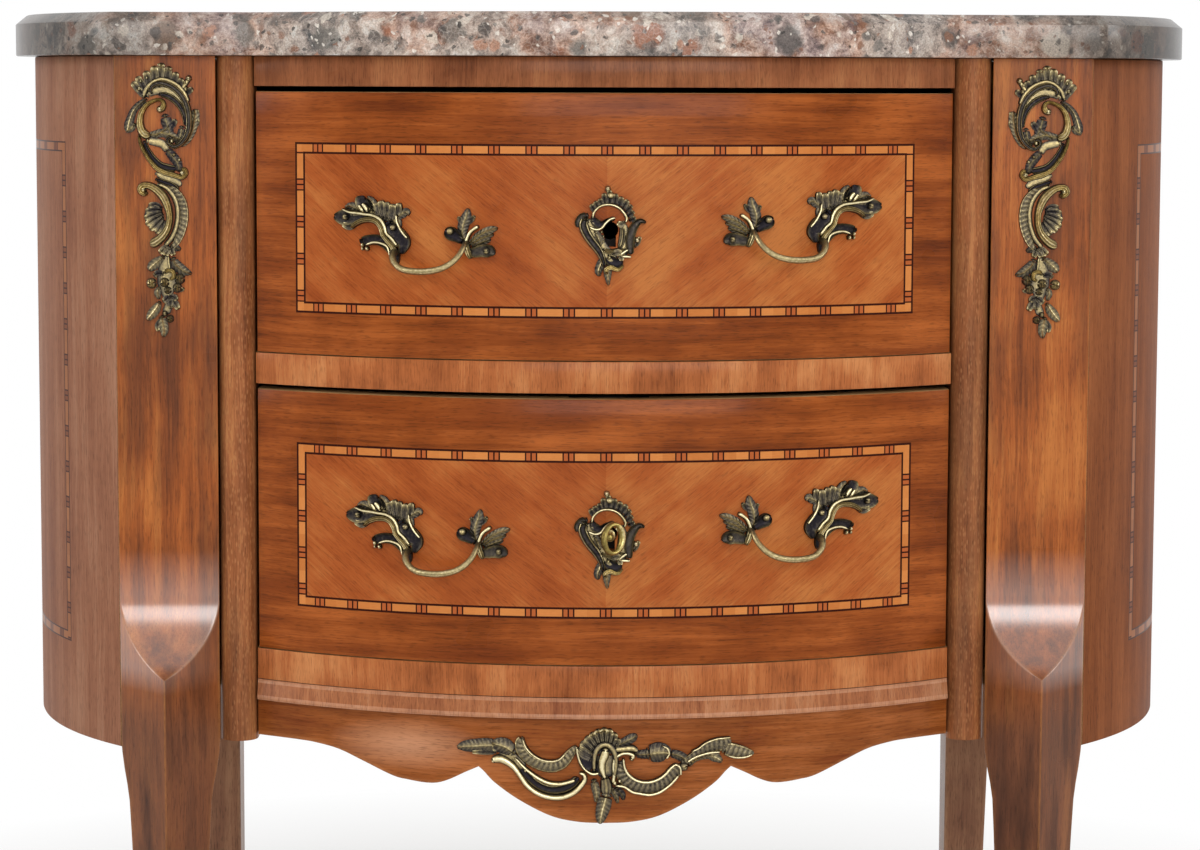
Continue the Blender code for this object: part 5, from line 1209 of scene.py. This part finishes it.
def strokeSkin(stroke, place):
    # one stroke as a closed body. Its width and height shrink to nothing at both ends as a half circle does,
    # and "place" bends the flat drawing onto what carries it
    kind, tone, lift, height, points = stroke
    tone = tone * castLook["hollowShare"]
    isBall = len(points) == 1
    if isBall:
        x, z, width = points[0]
        points = np.array([(x, z - width / 2, width), (x, z, width), (x, z + width / 2, width)])
    dense, length = walkCurve(points)
    total = length[-1]
    ends = np.minimum(points[[0, -1], 2] / 2, total * 0.499)
    nearEnd = 1 - np.cos(np.linspace(0.12, np.pi / 2, 6))
    middle = np.linspace(ends[0], total - ends[1], max(3, int(total / castLook["step"])))
    walk = np.unique(np.concatenate([ends[0] * nearEnd, middle, total - ends[1] * nearEnd]))
    line = np.stack([np.interp(walk, length, dense[:, k]) for k in range(3)], -1)
    along = np.gradient(line[:, :2], walk, axis=0)
    along /= np.linalg.norm(along, axis=1, keepdims=True) + 1e-9
    normal = np.stack([-along[:, 1], along[:, 0]], -1)
    near = np.minimum(walk / max(ends[0], 1e-6), (total - walk) / max(ends[1], 1e-6))
    cap = np.sqrt(np.clip(1 - (1 - np.clip(near, 0, 1)) ** 2, 0, 1))[:, None]
    q = np.sin(np.linspace(-np.pi / 2, np.pi / 2, castLook["across"]))
    side = line[:, 2:3] / 2 * cap * np.concatenate([[-1.0], q, [1.0]])
    flat = line[:, None, :2] + normal[:, None, :] * side[..., None]
    form = sectionHeight(kind, q, walk[:, None], walk[:, None] / total)
    shape = form * (cap if isBall else cap ** 0.5)
    rise = np.pad(np.maximum(lift * cap ** 0.5 + height * shape, 0.12), ((0, 0), (1, 1)))
    low, high = form.min(), form.max()
    level = ((shape - low * 0.9) / (high - low * 0.9)) ** (2.5 if kind == "round" else 1.5)
    if kind == "gadroon":
        level = 0.5 * level + 0.7 * np.exp(-((np.abs(q) - 0.84) / 0.1) ** 2)
    relief = np.pad(0.09 + 0.66 * level + tone, ((0, 0), (1, 1)))
    relief[:, [1, -2]] = np.minimum(relief[:, [1, -2]], 0.2 + tone)
    rings = place(flat[..., 0] * mm, flat[..., 1] * mm, rise * mm)
    return skin(rings, walk[:, None] * mm, np.concatenate([side, side[:, :1]], 1) * mm, relief)


def onBowAt(startX, startZ, side):
    # bends a flat drawing onto the bow: across becomes arc length from startX, height moves away from the
    # centre
    def place(x, z, rise):
        radius = bow["radius"] + castLook["gap"] * mm + rise
        angle = side * (startX + x) / bow["radius"]
        return np.stack([radius * np.sin(angle), bow["centreY"] - radius * np.cos(angle), startZ + z], -1)
    return place


def addMount(node, strokes, place, body="case", more=()):
    skins = [strokeSkin(stroke, place) for stroke in strokes] + list(more)
    addPiece(node, buildMesh(skins, [giltBronze], "relief", 50), body)


# The pull's drawing runs inwards from its outboard end. Its bar is a round rod with a slight ridge.
handleLook = {"reach": 20.5, "root": 2.5, "parallax": 1.8, "squeeze": 0.968, "anchor": 104, "barWidth": 0.86,
              "barRidge": 0.06, "barTone": 0.12, "barSides": 16}
mountStart = {"escutcheon": -18.8, "apron": -93}


def barSkin(place):
    path = smoothCurve(barPath, 64)
    bulge = np.sin(np.pi * np.linspace(0, 1, len(path))) ** 0.5
    rise = handleLook["root"] + (handleLook["reach"] - handleLook["root"]) * bulge
    line = np.stack([path[:, 0], path[:, 1] + handleLook["parallax"] * bulge, rise], -1) * mm
    ahead = np.gradient(line, axis=0)
    ahead /= np.linalg.norm(ahead, axis=1, keepdims=True)
    acrossBar = np.cross(ahead, (0.0, 0.0, 1.0))
    acrossBar /= np.linalg.norm(acrossBar, axis=1, keepdims=True)
    outward = np.cross(acrossBar, ahead)
    turn = np.linspace(0, 2 * np.pi, handleLook["barSides"], endpoint=False)
    ridge = (1 + handleLook["barRidge"] * np.cos(4 * turn))[:, None]
    circle = acrossBar[:, None] * (np.cos(turn)[:, None]
                                   * ridge) + outward[:, None] * (np.sin(turn)[:, None] * ridge)
    body = line[:, None] + (path[:, 2] * mm * handleLook["barWidth"])[:, None, None] * circle
    relief = 0.28 + 0.4 * np.clip(outward[:, 2:] * np.sin(turn), -1, 1) + handleLook["barTone"]
    relief -= 0.3 * np.exp(-((turn - np.pi / 2) / 0.3) ** 2)  # painted shade of a groove along the middle
    return skin(place(body[..., 0], body[..., 1], body[..., 2]), np.linspace(0, 0.1, len(body))[:, None],
                np.linspace(0, 0.02, len(turn) + 1), relief)


for level in bothLevels:
    for side, word in bothSides:
        node = level + "_" + word + "_handle"
        low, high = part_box(node)
        arc = bow["radius"] * math.asin(min(1, (max(abs(low.x), abs(high.x)) / (bow["radius"] + 1 * mm))))
        bend = onBowAt(arc, low.z, side)
        squeeze = handleLook["squeeze"]

        def inwards(x, z, rise):
            return bend(-(handleLook["anchor"] * mm * (1 - squeeze) + x * squeeze), z, rise)

        addMount(node, handleStrokes, inwards, level + "_drawer", [barSkin(inwards)])
    low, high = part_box(level + "_escutcheon")
    addMount(level + "_escutcheon", escutcheonStrokes, onBowAt(mountStart["escutcheon"] * mm, low.z, 1),
             level + "_drawer")
print("handles and keyhole plates done")

for side, word in bothSides:
    low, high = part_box("chute_" + word)
    outboard = high.x if side > 0 else -low.x

    def onFacet(x, z, rise):
        y = bow["frontY"] + (legLook["facetY"] - castLook["gap"]) * mm - rise
        return np.stack([side * (outboard - x), y, low.z + z], -1)

    addMount("chute_" + word, chuteStrokes, onFacet)
addMount("apron_mount", apronStrokes, onBowAt(mountStart["apron"] * mm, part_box("apron_mount")[0].z, 1))
print("case mounts done")

# Shoes on the front feet: a flange, a plain body and a beaded lip. The profile holds heights and how far
# it stands out, "lining" the heights inside, down to the sole.
sabotLook = {"profile": [(0.0, 2.2), (0.6, 3.0), (5.0, 3.0), (6.0, 1.8), (7.5, 1.4), (9.0, 2.0), (32.0, 1.5),
                         (34.0, 1.2), (35.5, 2.2), (37.5, 2.8), (39.5, 2.2), (40.5, 1.4), (44.0, 1.2),
                         (45.0, 0.7)], "lining": (44.9, 30.0, 3.7)}
for side, word in bothSides:
    dense = smoothCurve(sabotLook["profile"], 70)
    rows = [(up, *legPlan(up * mm, side, grow * mm, 2.2 * mm)) for up, grow in dense]
    rows += [(up, *legPlan(up * mm, side, 0.3 * mm, 1.3 * mm)) for up in sabotLook["lining"]]
    rings = np.stack([flatRing(ring, up * mm) for up, ring, worn in rows])
    rise = np.concatenate([dense[:, 1], [0, 0, 0]])
    relief = np.clip(0.05 + 0.2 * rise, 0, 1)[:, None] + 0.12 * rows[-1][2]
    addPiece("sabot_" + word, buildMesh([skin(rings, 0, 0, relief)], [giltBronze], "relief", 40))

# Key: round stem with two collars, a bit, and an oval bow that stands turned by 45 degrees
keyLook = {"bowOut": 20.0, "bowSide": 2.0, "along": 8.1, "up": 8.8, "wire": 1.65, "turn": 45, "stem": [
    (-19.0, 0.4), (-18.8, 2.3), (-18.2, 2.5), (2.0, 2.5), (3.0, 2.6), (3.4, 3.4), (4.4, 3.7), (5.4, 3.3),
    (5.8, 2.6), (9.0, 2.4), (9.6, 3.0), (10.4, 3.3), (11.2, 2.9), (12.0, 2.2), (14.0, 2.0), (15.4, 1.5),
    (15.8, 0.5)],
    "bit": [(-1, 0), (1, 0), (1, -5.8), (-1, -5.8)], "bitOut": (-19, -15)}
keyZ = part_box("lower_drawer_front")[1].z - lockPlace["keyholeDown"]


def keySkin(points, relief, caps=True):
    # the drawing's axes are across, up and out of the drawer
    across, up, out = points[..., 0], points[..., 1], points[..., 2]
    return skin(np.stack([lockPlace["x"] + across, bow["frontY"] - out, keyZ + up], -1), 0, 0, relief, caps)


turn = math.radians(keyLook["turn"])
angle = np.linspace(0, 2 * np.pi, 48, endpoint=False)
around = keyLook["along"] * np.cos(angle) * mm
ringPath = np.stack([keyLook["bowSide"] * mm + around * math.sin(turn), keyLook["up"] * np.sin(angle) * mm,
                     keyLook["bowOut"] * mm - around * math.cos(turn)], -1)
normalOut = np.array([math.cos(turn), 0, math.sin(turn)])
ahead = np.roll(ringPath, -1, 0) - np.roll(ringPath, 1, 0)
ahead /= np.linalg.norm(ahead, axis=1, keepdims=True)
radial = np.cross(ahead, normalOut)
swing = np.linspace(0, 2 * np.pi, 14, endpoint=False)
wire = keyLook["wire"] * mm * (1 + 0.12 * np.cos(2 * angle))[:, None, None]
body = ringPath[:, None] + wire * (radial[:, None] * np.cos(swing)[:, None]
                                   + normalOut * 1.25 * np.sin(swing)[:, None])
body = np.concatenate([body, body[:1]])
# the bow's relief map is painted lighter on its side turned right and outwards and darker on the other:
# painted light and shade
bowSkin = keySkin(body, 0.3 + 0.18 * np.sin(swing) + 24 * body[..., 0], False)
lathe = np.array(keyLook["stem"])
turns = np.linspace(0, 2 * np.pi, 25)[:-1]
stem = np.stack([lathe[:, 1:] * np.cos(turns), lathe[:, 1:] * np.sin(turns), lathe[:, :1] + 0 * turns],
                -1) * mm
stemSkin = keySkin(stem, np.clip(0.35 + 0.12 * lathe[:, 1:], 0, 0.9))
bitRing = roundRing(keyLook["bit"], 0.3, 2)[0] * mm
bitSkin = keySkin(np.stack([flatRing(bitRing, out * mm) for out in keyLook["bitOut"]]), 0.4)
addPiece("key", buildMesh([bowSkin, stemSkin, bitSkin], [keyBrass], "relief", 40), "key",
         "key.brass")
print("shoes and key done")


def seenByEye(tree):
    # 1 where the camera looks, also by a reflection or through glass, and 0 for the light itself
    path = addNode(tree, "LightPath").outputs
    seen = addNode(tree, "Math", {0: path["Is Camera Ray"], 1: path["Is Glossy Ray"]}, operation="MAXIMUM")
    return addNode(tree, "Math", {0: seen, 1: path["Is Transmission Ray"]}, operation="MAXIMUM")


# Stage: pale floor, white surroundings for the eye, soft studio lamps for the light
stageLook = {"floor": "efeeec", "ambient": 0.3, "size": 30, "whiteFrom": 0.65, "whiteAt": 1.1}
ground = bpy.data.meshes.new("floorMesh")
span = stageLook["size"]
ground.from_pydata([(-span, -span, 0), (span, -span, 0), (span, span, 0), (-span, span, 0)], [],
                   [(0, 1, 2, 3)])
floorPaint, tree, shader = newMaterial("floorPaint", {"Roughness": 0.9, "Base Color": stageLook["floor"]})
ground.materials.append(floorPaint)
# away from the chest the floor turns into the white backdrop, for the eye only
place = addNode(tree, "TexCoord").outputs["Object"]
far = addNode(tree, "VectorMath", {0: place}, operation="LENGTH")
far = addNode(tree, "MapRange", {0: far, 1: stageLook["whiteFrom"], 2: stageLook["whiteAt"], 3: 0.0, 4: 1.0})
share = addNode(tree, "Math", {0: seenByEye(tree), 1: far}, operation="MULTIPLY")
white = addNode(tree, "Emission", {"Color": (1, 1, 1, 1), "Strength": 1.0})
both = addNode(tree, "MixShader", {0: share, 1: shader, 2: white})
feed(tree, tree.nodes["Material Output"], {"Surface": both})
newObject("floor", ground)

world = bpy.data.worlds.new("studio")
bpy.context.scene.world = world
world.use_nodes = True
tree = world.node_tree
tree.nodes.clear()
strength = addNode(tree, "MapRange", {0: seenByEye(tree), 3: stageLook["ambient"], 4: 1.0})
back = addNode(tree, "Background", {"Color": (1, 1, 1, 1), "Strength": strength})
addNode(tree, "OutputWorld", {"Surface": back})

lamps = {
    "overFront": {"place": (0.3, -2.0, 3.2), "aim": (0, 0, 0.45), "size": (2.6, 1.4), "power": 34,
                  "mirrored": False},
    "front": {"place": (0.4, -3.5, 1.45), "aim": (0, 0, 0.55), "size": (2.8, 1.3), "power": 60},
    "leftSide": {"place": (-3.4, -0.6, 1.6), "aim": (0, 0, 0.4), "size": (1.6, 1.6), "power": 46},
    "rightSide": {"place": (3.4, -0.2, 1.6), "aim": (0, 0, 0.4), "size": (1.6, 1.6), "power": 40},
    "behind": {"place": (0.4, 3.6, 2.0), "aim": (0, 0, 0.4), "size": (2.4, 1.6), "power": 62,
               "mirrored": False},
}
for name, look in lamps.items():
    data = bpy.data.lights.new(name, "AREA")
    data.shape, data.energy = "RECTANGLE", look["power"]
    data.size, data.size_y = look["size"]
    lamp = newObject(name, data)
    lamp.location = look["place"]
    lamp.visible_glossy = look.get("mirrored", True)
    lamp.rotation_euler = (Vector(look["aim"]) - Vector(look["place"])).to_track_quat("-Z", "Y").to_euler()

# Camera: the photograph's own angle, straight on and a little from above
cameraLook = {"place": (-0.0429, -2.0701, 0.7395), "lens": 92.17, "sensor": 36, "shiftX": 0.0,
              "shiftY": -0.06, "down": 5.109, "turn": -1.185, "roll": 0.185}
data = bpy.data.cameras.new("photoView")
data.lens, data.shift_x, data.shift_y = cameraLook["lens"], cameraLook["shiftX"], cameraLook["shiftY"]
data.sensor_width = cameraLook["sensor"]
camera = newObject("photoView", data)
turn, down, roll = (math.radians(cameraLook[key]) for key in ("turn", "down", "roll"))
ahead = Vector((-math.sin(turn) * math.cos(down), math.cos(turn) * math.cos(down), -math.sin(down)))
right = Vector((math.cos(turn), math.sin(turn), 0))
up = right.cross(ahead)
tilted = math.cos(roll) * right + math.sin(roll) * up
upTilted = -math.sin(roll) * right + math.cos(roll) * up
matrix = Matrix((tilted, upTilted, -ahead)).transposed().to_4x4()
matrix.translation = Vector(cameraLook["place"])
camera.matrix_world = matrix
bpy.context.scene.camera = camera
bpy.context.scene.view_settings.view_transform = "Standard"
print("stage done")
